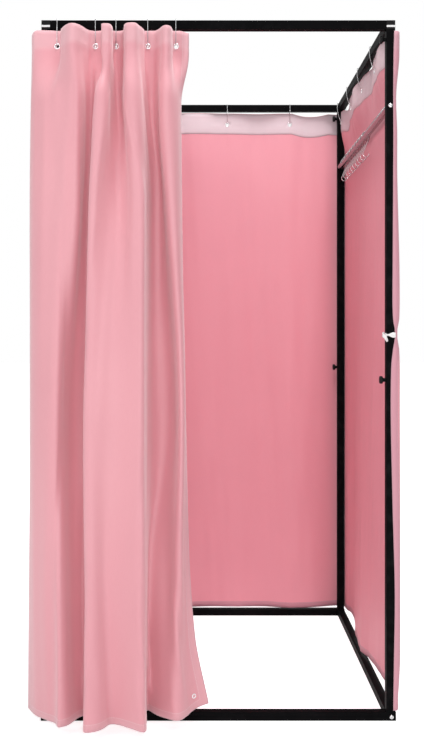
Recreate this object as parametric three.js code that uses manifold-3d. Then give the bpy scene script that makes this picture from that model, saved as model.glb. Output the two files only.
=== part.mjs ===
// Portable fitting room: a knock-down square tube frame with four hung curtains.
// Millimetres, +Z up. +Y runs from the doorway to the back wall, +X to the right of someone
// who stands in front of the doorway. The origin is the middle of the front bottom rail's
// underside, so the frame stands on z = 0.
import * as THREE from 'three';
import { mergeVertices } from 'three/addons/utils/BufferGeometryUtils.js';
import Module from 'manifold-3d';

const wasm = await Module();
wasm.setup();

// Frame tube
const FRAME_WIDTH = 1000;
const FRAME_DEPTH = 1000;
const FRAME_HEIGHT = 1980;
const TUBE_SIZE = 25;
const TUBE_WALL = 1.5;
const SPIGOT_LENGTH = 50;
const SHOULDER_HEIGHT = 3;
const WELD_DEPTH = 0.75;
const SEAT_CLEARANCE = 0.3;
const CUT_OVERRUN = 5;

// End plugs of the side top rails
const PLUG_FLANGE = 1.5;
const PLUG_LENGTH = 12;

// Clamp knobs
const KNOB_DROP = 27;
const KNOB_DIAMETER = 22;
const KNOB_HEAD_HEIGHT = 8;
const KNOB_EDGE_BEVEL = 1.2;
const KNOB_NECK_HEIGHT = 9;
const KNOB_NECK_DIAMETER = 10.5;
const KNOB_NECK_FLARE_DIAMETER = 14;
const KNOB_SCREW_DIAMETER = 6;
const KNOB_SCREW_LENGTH = 10;
const SCREW_CLEARANCE = 0.35;

// Clothes rail and its bolts
const CLOTHES_RAIL_DIAMETER = 22;
const CLOTHES_RAIL_WALL = 1.2;
const CLOTHES_RAIL_BELOW_TOP = 241;
const CLOTHES_RAIL_INSET = 1.5;
const RAIL_INSERT_LENGTH = 20;
const BOLT_DIAMETER = 8;
const BOLT_REACH = 12;
const BOLT_HEAD_DIAMETER = 13.6;
const BOLT_HEAD_HEIGHT = 4.4;
const BOLT_HEAD_CROWN_DIAMETER = 9;
const BOLT_HEAD_RIM_SHARE = 1 / 3;

// S-hooks on the clothes rail
const S_HOOK_COUNT = 10;
const S_HOOK_WIRE = 3;
const S_HOOK_HEIGHT = 86;
const S_HOOK_LOWER_RADIUS = 10;
const S_HOOK_PITCH = 53;
const S_HOOK_BACK_MARGIN = 110;
const S_HOOK_UPPER_TIP = Math.PI * 1.1;
const S_HOOK_LOWER_TIP = Math.PI * 2.08;

// Curtain hooks
const HOOK_WIRE = 2.5;
const HOOK_PLAY = 4.5;
const HOOK_SIDE_GAP = 0.7;
const HOOK_FOOT_HALF = 2.2;
const HOOK_FOOT_RISE = 2;
const HOOK_FOOT_SPREAD = 4.2;
const HOOK_BEND = 1;
const HOOK_SHOULDER_DROP = 5;
const EYELET_HOLE = 10;
const EYELET_BELOW_TOP = 43.5;
const EYELET_FLAT = 12;

// Curtains
const CLOTH_THICKNESS = 1.5;
const CLOTH_TOP_GAP = 7;
const CLOTH_BOTTOM_GAP = 6;
const FRONT_CLOTH_GAP = 4.5;
const FRONT_HOOK_MARGIN = 45.5;
const FRONT_HOOK_SPAN = 334.7;
const GATHER_DEPTH = 100;
const FRONT_EDGE_OUTSET = 28;
const FRONT_EDGE_FORWARD = 40;
const FRONT_TRAIL = 36;
const SIDE_HOOK_COUNT = 4;
const SIDE_HOOK_FRONT_MARGIN = 237;
const SIDE_HOOK_BACK_MARGIN = 33;
const BACK_HOOK_COUNT = 4;
const BACK_HOOK_LEFT_MARGIN = 61;
const BACK_HOOK_RIGHT_MARGIN = 210;
const WALL_CLEARANCE = 3.5;
const WALL_WRAP = 3;
const WALL_EASE = 4;
const WALL_WAVE = 12;
const RAIL_PASS_CLEARANCE = 5.2;
const TOP_SAG = 12;
const TOP_SAG_SHARE = 0.87;
const TOP_SAG_HALF_SHARE = 0.07;
const HEM_LIFT = 21;
const HEM_LIFT_START_SHARE = 0.93;

// Facets
const ROUND_SIDES = 16;
const SMALL_ROUND_SIDES = 12;
const WIRE_SIDES = 6;
const CURL_STEP = Math.PI / 8;
const WIRE_MITRE_LIMIT_SHARE = 0.5;

// Sizes that follow
const HALF_TUBE = TUBE_SIZE / 2;
const SIDE_X = FRAME_WIDTH / 2 - HALF_TUBE;
const BACK_Y = FRAME_DEPTH - TUBE_SIZE;
const RAIL_UNDERSIDE = FRAME_HEIGHT - TUBE_SIZE;
const TOP_RAIL_Z = FRAME_HEIGHT - HALF_TUBE;
const BOTTOM_RAIL_Z = HALF_TUBE;
const UPRIGHT_SEAM = (TUBE_SIZE + RAIL_UNDERSIDE) / 2;
const TUBE_BORE_HALF = HALF_TUBE - TUBE_WALL;
const SPIGOT_HALF = TUBE_BORE_HALF - SEAT_CLEARANCE;
const SPIGOT_BORE_HALF = SPIGOT_HALF - TUBE_WALL;
const CLOTHES_RAIL_X = SIDE_X - CLOTHES_RAIL_INSET;
const CLOTHES_RAIL_HEIGHT = FRAME_HEIGHT - CLOTHES_RAIL_BELOW_TOP;
const S_HOOK_LAST = BACK_Y - S_HOOK_BACK_MARGIN;
const HOOK_RADIUS = HOOK_WIRE / 2;
const HOOK_WIDTH = TUBE_SIZE + 2 * HOOK_PLAY;
const CLOTH_TOP = RAIL_UNDERSIDE - CLOTH_TOP_GAP;
const CLOTH_BOTTOM = TUBE_SIZE + CLOTH_BOTTOM_GAP;
const FRONT_CLOTH_OFFSET = HALF_TUBE + FRONT_CLOTH_GAP;
const EYELET_Z = CLOTH_TOP - EYELET_BELOW_TOP;
const HOOK_FOOT_Z = EYELET_Z + EYELET_HOLE / 2 - HOOK_RADIUS - HOOK_SIDE_GAP;
const HOOK_TOP_Z = FRAME_HEIGHT + SEAT_CLEARANCE + HOOK_RADIUS;
const FRONT_HOOK_FIRST = FRONT_HOOK_MARGIN - FRAME_WIDTH / 2;
const FRONT_HOOK_LAST = FRONT_HOOK_FIRST + FRONT_HOOK_SPAN;
const SIDE_HOOK_SPAN = BACK_Y - SIDE_HOOK_FRONT_MARGIN - SIDE_HOOK_BACK_MARGIN;
const SIDE_HOOK_PITCH = SIDE_HOOK_SPAN / (SIDE_HOOK_COUNT - 1);
const BACK_HOOK_FIRST = BACK_HOOK_LEFT_MARGIN - FRAME_WIDTH / 2;
const BACK_HOOK_SPAN = FRAME_WIDTH - BACK_HOOK_LEFT_MARGIN - BACK_HOOK_RIGHT_MARGIN;
const BACK_HOOK_PITCH = BACK_HOOK_SPAN / (BACK_HOOK_COUNT - 1);
const WALL_OUT = HALF_TUBE + WALL_CLEARANCE;
const BACK_OUT = HALF_TUBE + SEAT_CLEARANCE + BOLT_HEAD_HEIGHT + WALL_CLEARANCE / 2;
const S_HOOK_OUT = CLOTHES_RAIL_DIAMETER / 2 + SEAT_CLEARANCE + S_HOOK_WIRE - CLOTHES_RAIL_INSET;

// Finishes
const finish = (color, roughness, metalness) =>
  new THREE.MeshStandardMaterial({ color, roughness, metalness });
const POWDER_COAT = finish(0x17161a, 0.45, 0.2);
const BLACK_PLASTIC = finish(0x101012, 0.5, 0);
const CHROME = finish(0xc9c9cc, 0.18, 1);
const PINK_CLOTH = finish(0xe79aa6, 0.75, 0);

// Solids and meshes

function toSolid(geometry) {
  const bare = geometry.clone();
  bare.deleteAttribute('normal');
  bare.deleteAttribute('uv');
  const merged = mergeVertices(bare);
  return new wasm.Manifold(new wasm.Mesh({
    numProp: 3,
    vertProperties: new Float32Array(merged.attributes.position.array),
    triVerts: new Uint32Array(merged.index.array),
  }));
}

function toGeometry(solid) {
  const mesh = solid.getMesh();
  const geometry = new THREE.BufferGeometry();
  geometry.setAttribute('position', new THREE.BufferAttribute(new Float32Array(mesh.vertProperties), 3));
  geometry.setIndex(new THREE.BufferAttribute(new Uint32Array(mesh.triVerts), 1));
  return geometry;
}

function joined(geometries) {
  const solids = geometries.map(toSolid);
  return toGeometry(solids.reduce((whole, next) => whole.add(next)));
}

function cut(geometry, cutters) {
  const solid = cutters.map(toSolid).reduce((rest, cutter) => rest.subtract(cutter), toSolid(geometry));
  return toGeometry(solid);
}

function named(name, geometry, material) {
  const mesh = new THREE.Mesh(geometry, material);
  mesh.name = name;
  return mesh;
}

function placed(mesh, x, y, z) {
  mesh.position.set(x, y, z);
  return mesh;
}

// A body turned about Z. The outline is a closed run of [radius, height] corners, given
// anticlockwise as seen with the radius to the right and the height up.
function turned(outline, sides) {
  const corners = outline.map(([radius, height]) => new THREE.Vector2(radius, height));
  corners.push(corners[0].clone());
  return new THREE.LatheGeometry(corners, sides).rotateX(Math.PI / 2);
}

// The same with a square section: the outline's first numbers are half widths.
function squareTurned(outline) {
  const onCorners = outline.map(([half, height]) => [half * Math.SQRT2, height]);
  return turned(onCorners, 4).rotateZ(Math.PI / 4);
}

function squareTube(start, end) {
  return squareTurned([
    [TUBE_BORE_HALF, start], [HALF_TUBE, start], [HALF_TUBE, end], [TUBE_BORE_HALF, end],
  ]);
}

// A tube end that plugs into the next tube's bore.
function spigot(start, end) {
  return squareTurned([
    [SPIGOT_BORE_HALF, start], [SPIGOT_HALF, start], [SPIGOT_HALF, end], [SPIGOT_BORE_HALF, end],
  ]);
}

// A cutter for a round hole along X through the wall on the given side of a tube.
function screwHole(side, height) {
  const reach = HALF_TUBE + CUT_OVERRUN;
  const radius = KNOB_SCREW_DIAMETER / 2 + SCREW_CLEARANCE;
  return new THREE.CylinderGeometry(radius, radius, reach, SMALL_ROUND_SIDES)
    .rotateZ(Math.PI / 2)
    .translate(side * reach / 2, 0, height);
}

// A cutter for a round hole along Y through both walls of a tube.
function boltHole(across, height) {
  const radius = BOLT_DIAMETER / 2 + SCREW_CLEARANCE;
  return new THREE.CylinderGeometry(radius, radius, TUBE_SIZE + CUT_OVERRUN, SMALL_ROUND_SIDES)
    .translate(across, 0, height);
}

// A round wire along a flat path of [across, up] points in the XZ plane. A closed path's end
// joins its start, and an open one gets flat ends.
function wire(path, radius, closed) {
  const count = path.length;
  const positions = [];
  const faces = [];
  const pointAt = (index) => {
    if (closed) return path[(index + count) % count];
    return path[Math.min(Math.max(index, 0), count - 1)];
  };
  for (let ring = 0; ring < count; ring++) {
    const here = new THREE.Vector2(...path[ring]);
    const before = new THREE.Vector2(...pointAt(ring - 1));
    const after = new THREE.Vector2(...pointAt(ring + 1));
    const arriving = ring === 0 && !closed ? after.clone().sub(here) : here.clone().sub(before);
    const leaving = ring === count - 1 && !closed ? arriving.clone() : after.clone().sub(here);
    arriving.normalize();
    leaving.normalize();
    const along = arriving.clone().add(leaving).normalize();
    const mitre = 1 / Math.max(along.dot(leaving), WIRE_MITRE_LIMIT_SHARE);
    for (let side = 0; side < WIRE_SIDES; side++) {
      const angle = 2 * Math.PI * (side + 0.5) / WIRE_SIDES;
      const inPlane = radius * mitre * Math.cos(angle);
      positions.push(
        here.x - along.y * inPlane,
        radius * Math.sin(angle),
        here.y + along.x * inPlane,
      );
    }
  }
  const rings = closed ? count : count - 1;
  for (let ring = 0; ring < rings; ring++) {
    for (let side = 0; side < WIRE_SIDES; side++) {
      const next = (side + 1) % WIRE_SIDES;
      const a = ring * WIRE_SIDES + side;
      const b = ring * WIRE_SIDES + next;
      const c = ((ring + 1) % count) * WIRE_SIDES + side;
      const d = ((ring + 1) % count) * WIRE_SIDES + next;
      faces.push(a, c, b, b, c, d);
    }
  }
  if (!closed) {
    const last = (count - 1) * WIRE_SIDES;
    for (let side = 1; side < WIRE_SIDES - 1; side++) {
      faces.push(0, side, side + 1);
      faces.push(last, last + side + 1, last + side);
    }
  }
  const geometry = new THREE.BufferGeometry();
  geometry.setAttribute('position', new THREE.Float32BufferAttribute(positions, 3));
  geometry.setIndex(faces);
  return geometry;
}

// Points of an arc in the wire's plane, from one angle to another.
function arc(centreAcross, centreUp, radius, from, to) {
  const steps = Math.ceil(Math.abs(to - from) / CURL_STEP);
  return Array.from({ length: steps + 1 }, (_, step) => {
    const angle = from + (to - from) * step / steps;
    return [centreAcross + radius * Math.cos(angle), centreUp + radius * Math.sin(angle)];
  });
}

// Frame

function lowerUpright(side) {
  return cut(squareTube(TUBE_SIZE, UPRIGHT_SEAM), [screwHole(-side, UPRIGHT_SEAM - KNOB_DROP)]);
}

function upperUpright(side, carriesRail) {
  const body = squareTurned([
    [SPIGOT_BORE_HALF, UPRIGHT_SEAM - SPIGOT_LENGTH],
    [SPIGOT_HALF, UPRIGHT_SEAM - SPIGOT_LENGTH],
    [SPIGOT_HALF, UPRIGHT_SEAM],
    [HALF_TUBE, UPRIGHT_SEAM],
    [HALF_TUBE, RAIL_UNDERSIDE],
    [TUBE_BORE_HALF, RAIL_UNDERSIDE],
    [TUBE_BORE_HALF, UPRIGHT_SEAM + SHOULDER_HEIGHT],
    [SPIGOT_BORE_HALF, UPRIGHT_SEAM + SHOULDER_HEIGHT],
  ]);
  const cutters = [
    screwHole(-side, UPRIGHT_SEAM - KNOB_DROP),
    screwHole(-side, RAIL_UNDERSIDE - KNOB_DROP),
  ];
  if (carriesRail) cutters.push(boltHole(CLOTHES_RAIL_X - SIDE_X, CLOTHES_RAIL_HEIGHT));
  return cut(body, cutters);
}

// A side top rail runs the full depth, with a spigot at each end for the upright below.
function sideTopRail(side) {
  const front = -HALF_TUBE + PLUG_FLANGE;
  const tube = squareTube(front, BACK_Y - front).rotateX(-Math.PI / 2).translate(0, 0, TOP_RAIL_Z);
  const stub = spigot(RAIL_UNDERSIDE - SPIGOT_LENGTH, RAIL_UNDERSIDE + WELD_DEPTH);
  const hole = screwHole(-side, RAIL_UNDERSIDE - KNOB_DROP);
  const backStub = stub.clone().translate(0, BACK_Y, 0);
  const backHole = hole.clone().translate(0, BACK_Y, 0);
  return cut(joined([tube, stub, backStub]), [hole, backHole]);
}

// The front and back bottom rails run the full width under the uprights, with a spigot up
// into each of them.
function crossBottomRail() {
  const tube = squareTube(-FRAME_WIDTH / 2, FRAME_WIDTH / 2)
    .rotateY(Math.PI / 2)
    .translate(0, 0, BOTTOM_RAIL_Z);
  const stub = spigot(TUBE_SIZE - WELD_DEPTH, TUBE_SIZE + SPIGOT_LENGTH);
  return joined([
    tube,
    stub.clone().translate(-SIDE_X, 0, 0),
    stub.clone().translate(SIDE_X, 0, 0),
  ]);
}

function crossTopRail() {
  const half = SIDE_X - HALF_TUBE;
  return squareTube(-half, half).rotateY(Math.PI / 2).translate(0, 0, TOP_RAIL_Z);
}

function sideBottomRail() {
  return squareTube(HALF_TUBE, BACK_Y - HALF_TUBE).rotateX(-Math.PI / 2).translate(0, 0, BOTTOM_RAIL_Z);
}

// A plastic plug that closes a side top rail's front end: a square flange with a peg.
function endPlug() {
  const front = -HALF_TUBE;
  const body = squareTurned([
    [0, front], [HALF_TUBE, front], [HALF_TUBE, front + PLUG_FLANGE],
    [SPIGOT_HALF, front + PLUG_FLANGE], [SPIGOT_HALF, front + PLUG_FLANGE + PLUG_LENGTH],
    [0, front + PLUG_FLANGE + PLUG_LENGTH],
  ]);
  return body.rotateX(-Math.PI / 2);
}

// A thumb screw along Z, its screw pointing down and its head up. Z = 0 is the tube's face.
function clampKnob() {
  const neckStart = SEAT_CLEARANCE;
  const headStart = neckStart + KNOB_NECK_HEIGHT;
  const headEnd = headStart + KNOB_HEAD_HEIGHT;
  const headRadius = KNOB_DIAMETER / 2;
  return turned([
    [0, -KNOB_SCREW_LENGTH],
    [KNOB_SCREW_DIAMETER / 2, -KNOB_SCREW_LENGTH],
    [KNOB_SCREW_DIAMETER / 2, neckStart],
    [KNOB_NECK_DIAMETER / 2, neckStart],
    [KNOB_NECK_FLARE_DIAMETER / 2, headStart],
    [headRadius - KNOB_EDGE_BEVEL, headStart],
    [headRadius, headStart + KNOB_EDGE_BEVEL],
    [headRadius, headEnd - KNOB_EDGE_BEVEL],
    [headRadius - KNOB_EDGE_BEVEL, headEnd],
    [0, headEnd],
  ], SMALL_ROUND_SIDES);
}

// Clothes rail: a round tube between the two right uprights, with a bored insert in each end.
function clothesRail() {
  const start = HALF_TUBE;
  const end = BACK_Y - HALF_TUBE;
  const radius = CLOTHES_RAIL_DIAMETER / 2;
  const bore = BOLT_DIAMETER / 2 + SCREW_CLEARANCE;
  const inside = radius - CLOTHES_RAIL_WALL;
  return turned([
    [bore, start], [radius, start], [radius, end], [bore, end],
    [bore, end - RAIL_INSERT_LENGTH], [inside, end - RAIL_INSERT_LENGTH],
    [inside, start + RAIL_INSERT_LENGTH], [bore, start + RAIL_INSERT_LENGTH],
  ], ROUND_SIDES).rotateX(-Math.PI / 2);
}

// A button-head bolt along Y, its head at the front. Y = 0 is the face that the head seats on.
function railBolt() {
  const head = -SEAT_CLEARANCE;
  return turned([
    [0, head - BOLT_HEAD_HEIGHT],
    [BOLT_HEAD_CROWN_DIAMETER / 2, head - BOLT_HEAD_HEIGHT],
    [BOLT_HEAD_DIAMETER / 2, head - BOLT_HEAD_HEIGHT * BOLT_HEAD_RIM_SHARE],
    [BOLT_HEAD_DIAMETER / 2, head],
    [BOLT_DIAMETER / 2, head],
    [BOLT_DIAMETER / 2, TUBE_SIZE + BOLT_REACH],
    [0, TUBE_SIZE + BOLT_REACH],
  ], SMALL_ROUND_SIDES).rotateX(-Math.PI / 2);
}

// Hooks

// An S-hook in the XZ plane whose upper curl goes round a rail at the origin.
function sHook() {
  const wireRadius = S_HOOK_WIRE / 2;
  const onRail = CLOTHES_RAIL_DIAMETER / 2 + SEAT_CLEARANCE + wireRadius;
  const upper = onRail / Math.cos(CURL_STEP / 2);
  const lower = S_HOOK_LOWER_RADIUS;
  const drop = S_HOOK_HEIGHT - upper - lower - S_HOOK_WIRE;
  const lean = Math.asin((upper + lower) / drop);
  return wire([
    ...arc(0, 0, upper, S_HOOK_UPPER_TIP, -lean),
    ...arc(0, -drop, lower, Math.PI - lean, S_HOOK_LOWER_TIP),
  ], wireRadius, false);
}

// A curtain hook: a closed wire loop in the XZ plane round a top rail's section, with its
// foot through the eyelet of a cloth that hangs at the given place across the rail.
function curtainHook(clothAcross) {
  const play = HOOK_WIDTH / 2 - HALF_TUBE - SEAT_CLEARANCE - HOOK_RADIUS;
  const shift = Math.sign(clothAcross) * play;
  const left = shift - HOOK_WIDTH / 2;
  const right = shift + HOOK_WIDTH / 2;
  const shoulder = RAIL_UNDERSIDE - HOOK_SHOULDER_DROP;
  const footSide = HOOK_FOOT_Z + HOOK_FOOT_RISE;
  return wire([
    [left, shoulder],
    [left, HOOK_TOP_Z - HOOK_BEND],
    [left + HOOK_BEND, HOOK_TOP_Z],
    [right - HOOK_BEND, HOOK_TOP_Z],
    [right, HOOK_TOP_Z - HOOK_BEND],
    [right, shoulder],
    [clothAcross + HOOK_FOOT_SPREAD, footSide],
    [clothAcross + HOOK_FOOT_HALF, HOOK_FOOT_Z],
    [clothAcross - HOOK_FOOT_HALF, HOOK_FOOT_Z],
    [clothAcross - HOOK_FOOT_SPREAD, footSide],
  ], HOOK_RADIUS, true);
}

// Curtains

// A plan curve through [x, y] places.
function planCurve(places) {
  return new THREE.CatmullRomCurve3(places.map(([x, y]) => new THREE.Vector3(x, y, 0)));
}

// Where each of a run of places lies along it, as a share of its length.
function lengthShares(places) {
  const lengths = places.map(([x, y], index) =>
    (index === 0 ? 0 : Math.hypot(x - places[index - 1][0], y - places[index - 1][1])));
  const total = lengths.reduce((sum, length) => sum + length, 0);
  let reached = 0;
  return lengths.map((length) => {
    reached += length;
    return Math.min(reached / total, 1);
  });
}

// A hanging cloth as one closed sheet. The first level's plan places are its columns. Each
// lower level has a plan of its own, followed at the same shares of the cloth's width, a
// height, or a function that gives it from that share, and the count of rows down to it.
function hangingCloth(levels) {
  const shares = lengthShares(levels[0].places);
  const columns = shares.length - 1;
  const plans = levels.map(({ places }, index) => {
    if (index === 0) return places.map(([x, y]) => new THREE.Vector3(x, y, 0));
    const curve = planCurve(places);
    return shares.map((share) => curve.getPointAt(share));
  });
  const heightAt = ({ height }, share) => (typeof height === 'function' ? height(share) : height);
  const rows = [];
  levels.forEach((level, index) => {
    const upper = Math.max(index - 1, 0);
    const count = index === 0 ? 1 : level.rows;
    for (let step = 1; step <= count; step++) {
      const share = step / count;
      rows.push(shares.map((across, column) => {
        const place = plans[upper][column].clone().lerp(plans[index][column], share);
        const above = heightAt(levels[upper], across);
        place.z = above + (heightAt(level, across) - above) * share;
        return place;
      }));
    }
  });
  const positions = [];
  for (const side of [-1, 1]) {
    for (const row of rows) {
      row.forEach((place, column) => {
        const before = row[Math.max(column - 1, 0)];
        const after = row[Math.min(column + 1, columns)];
        const along = new THREE.Vector2(after.x - before.x, after.y - before.y).normalize();
        const offset = side * CLOTH_THICKNESS / 2;
        positions.push(place.x + along.y * offset, place.y - along.x * offset, place.z);
      });
    }
  }
  const across = columns + 1;
  const sheet = rows.length * across;
  const faces = [];
  const quad = (a, b, c, d) => faces.push(a, b, c, a, c, d);
  for (let row = 0; row < rows.length - 1; row++) {
    for (let column = 0; column < columns; column++) {
      const a = row * across + column;
      const b = a + 1;
      const c = b + across;
      const d = a + across;
      quad(a, b, c, d);
      quad(sheet + a, sheet + d, sheet + c, sheet + b);
    }
    const left = row * across;
    const right = left + columns;
    quad(left, left + across, sheet + left + across, sheet + left);
    quad(right, sheet + right, sheet + right + across, right + across);
  }
  for (let column = 0; column < columns; column++) {
    const bottom = (rows.length - 1) * across + column;
    quad(column, sheet + column, sheet + column + 1, column + 1);
    quad(bottom, bottom + 1, sheet + bottom + 1, sheet + bottom);
  }
  const geometry = new THREE.BufferGeometry();
  geometry.setAttribute('position', new THREE.Float32BufferAttribute(positions, 3));
  geometry.setIndex(faces);
  return geometry;
}

// A cutter for an eyelet's hole at the given angle from the Y axis and place in plan.
function eyeletHole(turn, x, y) {
  return new THREE.CylinderGeometry(EYELET_HOLE / 2, EYELET_HOLE / 2, CUT_OVERRUN * 2, SMALL_ROUND_SIDES)
    .rotateZ(turn)
    .translate(x, y, EYELET_Z);
}

// Plan places of a cloth along its hooks, as [along, out]: flat for a short way at each
// hook, and out by the given bulges, one for each gap, between them.
function hookedPlaces(hooks, bulges, bulgeShares) {
  return hooks.flatMap((along, index) => {
    const flat = [[along - EYELET_FLAT / 2, 0], [along + EYELET_FLAT / 2, 0]];
    if (index === hooks.length - 1) return flat;
    const gap = hooks[index + 1] - along - EYELET_FLAT;
    const bulge = bulgeShares.map(([alongShare, outShare]) =>
      [along + EYELET_FLAT / 2 + gap * alongShare, bulges[index] * outShare]);
    return [...flat, ...bulge];
  });
}

// The front curtain is drawn to the left. Its top bulges forward between hooks, and its
// middle two folds run into one below them.
const frontHookShares = [0, 0.3224, 0.4963, 0.7637, 1];
const frontHookX = frontHookShares.map((share) => FRONT_HOOK_FIRST + FRONT_HOOK_SPAN * share);
const foldShares = [
  [0.04, 0.16], [0.09, 0.42], [0.16, 0.72], [0.3, 0.95], [0.5, 1], [0.7, 0.95], [0.84, 0.72], [0.91, 0.42],
  [0.96, 0.16],
];
const foldDepthShares = [0.95, 0.9, 0.98, 0.72];

// How the top's left margin goes round the upright's front, and how its right margin trails.
const frontEdgeShares = [
  [0, 0.05], [0.06, 0.38], [0.25, 0.75], [0.6, 0.98], [1.1, 1], [1.6, 0.86],
  [2.1, 0.6],
];
const frontTrailShares = [[0.3, 0.12], [0.6, 0.3], [0.85, 0.28], [1, 0.18]];

function frontTopPlaces() {
  const edge = -FRAME_WIDTH / 2 - FRONT_EDGE_OUTSET;
  const bulges = foldDepthShares.map((share) => share * (GATHER_DEPTH - FRONT_CLOTH_OFFSET));
  const hooked = hookedPlaces(frontHookX, bulges, foldShares)
    .map(([along, out]) => [along, -FRONT_CLOTH_OFFSET - out]);
  const trail = FRONT_TRAIL - EYELET_FLAT / 2;
  const trailStart = FRONT_HOOK_LAST + EYELET_FLAT / 2;
  return [
    ...frontEdgeShares.map(([acrossShare, forwardShare]) =>
      [edge + acrossShare * FRONT_EDGE_OUTSET, -forwardShare * FRONT_EDGE_FORWARD]),
    ...hooked,
    ...frontTrailShares.map(([acrossShare, forwardShare]) =>
      [trailStart + trail * acrossShare, -FRONT_CLOTH_OFFSET - forwardShare * FRONT_TRAIL]),
  ];
}

// The hem's plan: x as shares of the hooks' span from the first hook, and how far forward of
// the rail as shares of the fold depth.
const frontHemShares = [
  [-0.255, -0.035], [-0.215, 0.28], [-0.14, 0.78], [0.03, 1.26], [0.13, 1.08], [0.2, 0.62], [0.245, 0.46],
  [0.265, 0.9], [0.275, 1.5], [0.315, 1.62], [0.4, 1.3], [0.5, 1.06], [0.62, 1.2], [0.74, 1.6],
  [0.775, 1.42], [0.765, 0.9], [0.76, 0.4], [0.8, 0.24], [0.87, 0.46], [0.965, 0.8], [1.055, 0.78],
  [1.13, 0.4], [1.2, 0.2], [1.275, 0.17],
];

function frontCurtain() {
  const hem = frontHemShares.map(([acrossShare, forwardShare]) =>
    [FRONT_HOOK_FIRST + FRONT_HOOK_SPAN * acrossShare, -GATHER_DEPTH * forwardShare]);
  const liftedHem = (share) =>
    CLOTH_BOTTOM + HEM_LIFT * Math.max(0, share - HEM_LIFT_START_SHARE) / (1 - HEM_LIFT_START_SHARE);
  const cloth = hangingCloth([
    { height: CLOTH_TOP, places: frontTopPlaces() },
    { height: liftedHem, places: hem, rows: 7 },
  ]);
  return cut(cloth, frontHookX.map((x) => eyeletHole(0, x, -FRONT_CLOTH_OFFSET)));
}

// Walls: the back and side curtains hang stretched under their rails, between the uprights,
// and their ends pass outside the uprights.
const wallShares = [[0.15, 0.2], [0.3, 0.65], [0.5, 1], [0.7, 0.65], [0.85, 0.2]];
const sideWaveShares = [1, -0.8, 0.9];
const sideEaseShares = [[0.1, 0.7], [0.22, 0.1], [0.4, -0.4], [0.6, -0.5], [0.8, -0.2]];
const backWaveShares = [0.9, -0.7, 0.8];
const backTrailShares = [[0.3, 0.3], [0.6, 0.4], [0.85, 0.55]];
const backShoulderShare = 0.85;
const backEaseShare = 0.35;
const inRow = (count, first, pitch) => Array.from({ length: count }, (_, index) => first + pitch * index);
const sideHookY = inRow(SIDE_HOOK_COUNT, SIDE_HOOK_FRONT_MARGIN, SIDE_HOOK_PITCH);
const backHookX = inRow(BACK_HOOK_COUNT, BACK_HOOK_FIRST, BACK_HOOK_PITCH);

// How the side curtain's front margin wraps the upright, as [along the side, outwards from
// the rails' axis], from the upright's front face round to its outer side.
const sideWrap = [
  [-HALF_TUBE - WALL_CLEARANCE, HALF_TUBE - WALL_WRAP],
  [-HALF_TUBE - WALL_CLEARANCE, HALF_TUBE],
  [-HALF_TUBE - WALL_CLEARANCE / 2, WALL_OUT],
  [-HALF_TUBE / 2, WALL_OUT + WALL_EASE],
  [HALF_TUBE / 2, WALL_OUT + WALL_EASE],
  [HALF_TUBE + WALL_CLEARANCE, WALL_OUT],
];
const sideEnd = [
  [BACK_Y - HALF_TUBE - WALL_CLEARANCE, WALL_OUT],
  [BACK_Y - HALF_TUBE / 2, WALL_OUT],
  [BACK_Y + HALF_TUBE / 2, WALL_OUT],
  [BACK_Y + HALF_TUBE, WALL_OUT],
];

function sideTopPlaces() {
  const waves = sideWaveShares.map((share) => share * WALL_WAVE);
  const easeLength = SIDE_HOOK_FRONT_MARGIN - HALF_TUBE;
  const ease = sideEaseShares.map(([alongShare, outShare]) =>
    [HALF_TUBE + easeLength * alongShare, WALL_OUT * outShare]);
  return [...sideWrap, ...ease, ...hookedPlaces(sideHookY, waves, wallShares), ...sideEnd];
}

// The wall where it passes outside the clothes rail and its hooks.
function sideRailPlaces() {
  const alongShares = [0.08, 0.2, 0.35, 0.5, 0.65, 0.8, 0.92];
  return [
    ...sideWrap,
    ...alongShares.map((share) => [BACK_Y * share, S_HOOK_OUT + RAIL_PASS_CLEARANCE]),
    ...sideEnd,
  ];
}

function sideHemPlaces() {
  const hemShares = [
    [0.07, 0.95], [0.16, 0.8], [0.3, 0.1], [0.45, -0.9], [0.58, -0.3], [0.7, 0.95], [0.82, 0.5],
    [0.93, 0.3],
  ];
  return [
    ...sideWrap,
    ...hemShares.map(([alongShare, outShare]) => [BACK_Y * alongShare, WALL_WAVE * outShare]),
    ...sideEnd,
  ];
}

// The right and left walls are mirror images, but only the right one has the clothes rail
// to pass.
function sideCurtain(side) {
  const inPlan = (places) => {
    const inFrame = places.map(([along, out]) => [side * (SIDE_X + out), along]);
    return side > 0 ? inFrame : inFrame.reverse();
  };
  const atRail = side > 0 ? sideRailPlaces() : sideTopPlaces();
  const cloth = hangingCloth([
    { height: CLOTH_TOP, places: inPlan(sideTopPlaces()) },
    { height: EYELET_Z - EYELET_HOLE * 2, places: inPlan(sideTopPlaces()), rows: 1 },
    { height: CLOTHES_RAIL_HEIGHT + CLOTHES_RAIL_DIAMETER, places: inPlan(atRail), rows: 2 },
    { height: CLOTHES_RAIL_HEIGHT - S_HOOK_HEIGHT, places: inPlan(atRail), rows: 1 },
    { height: CLOTH_BOTTOM, places: inPlan(sideHemPlaces()), rows: 3 },
  ]);
  return cut(cloth, sideHookY.map((y) => eyeletHole(Math.PI / 2, side * SIDE_X, y)));
}

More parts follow.
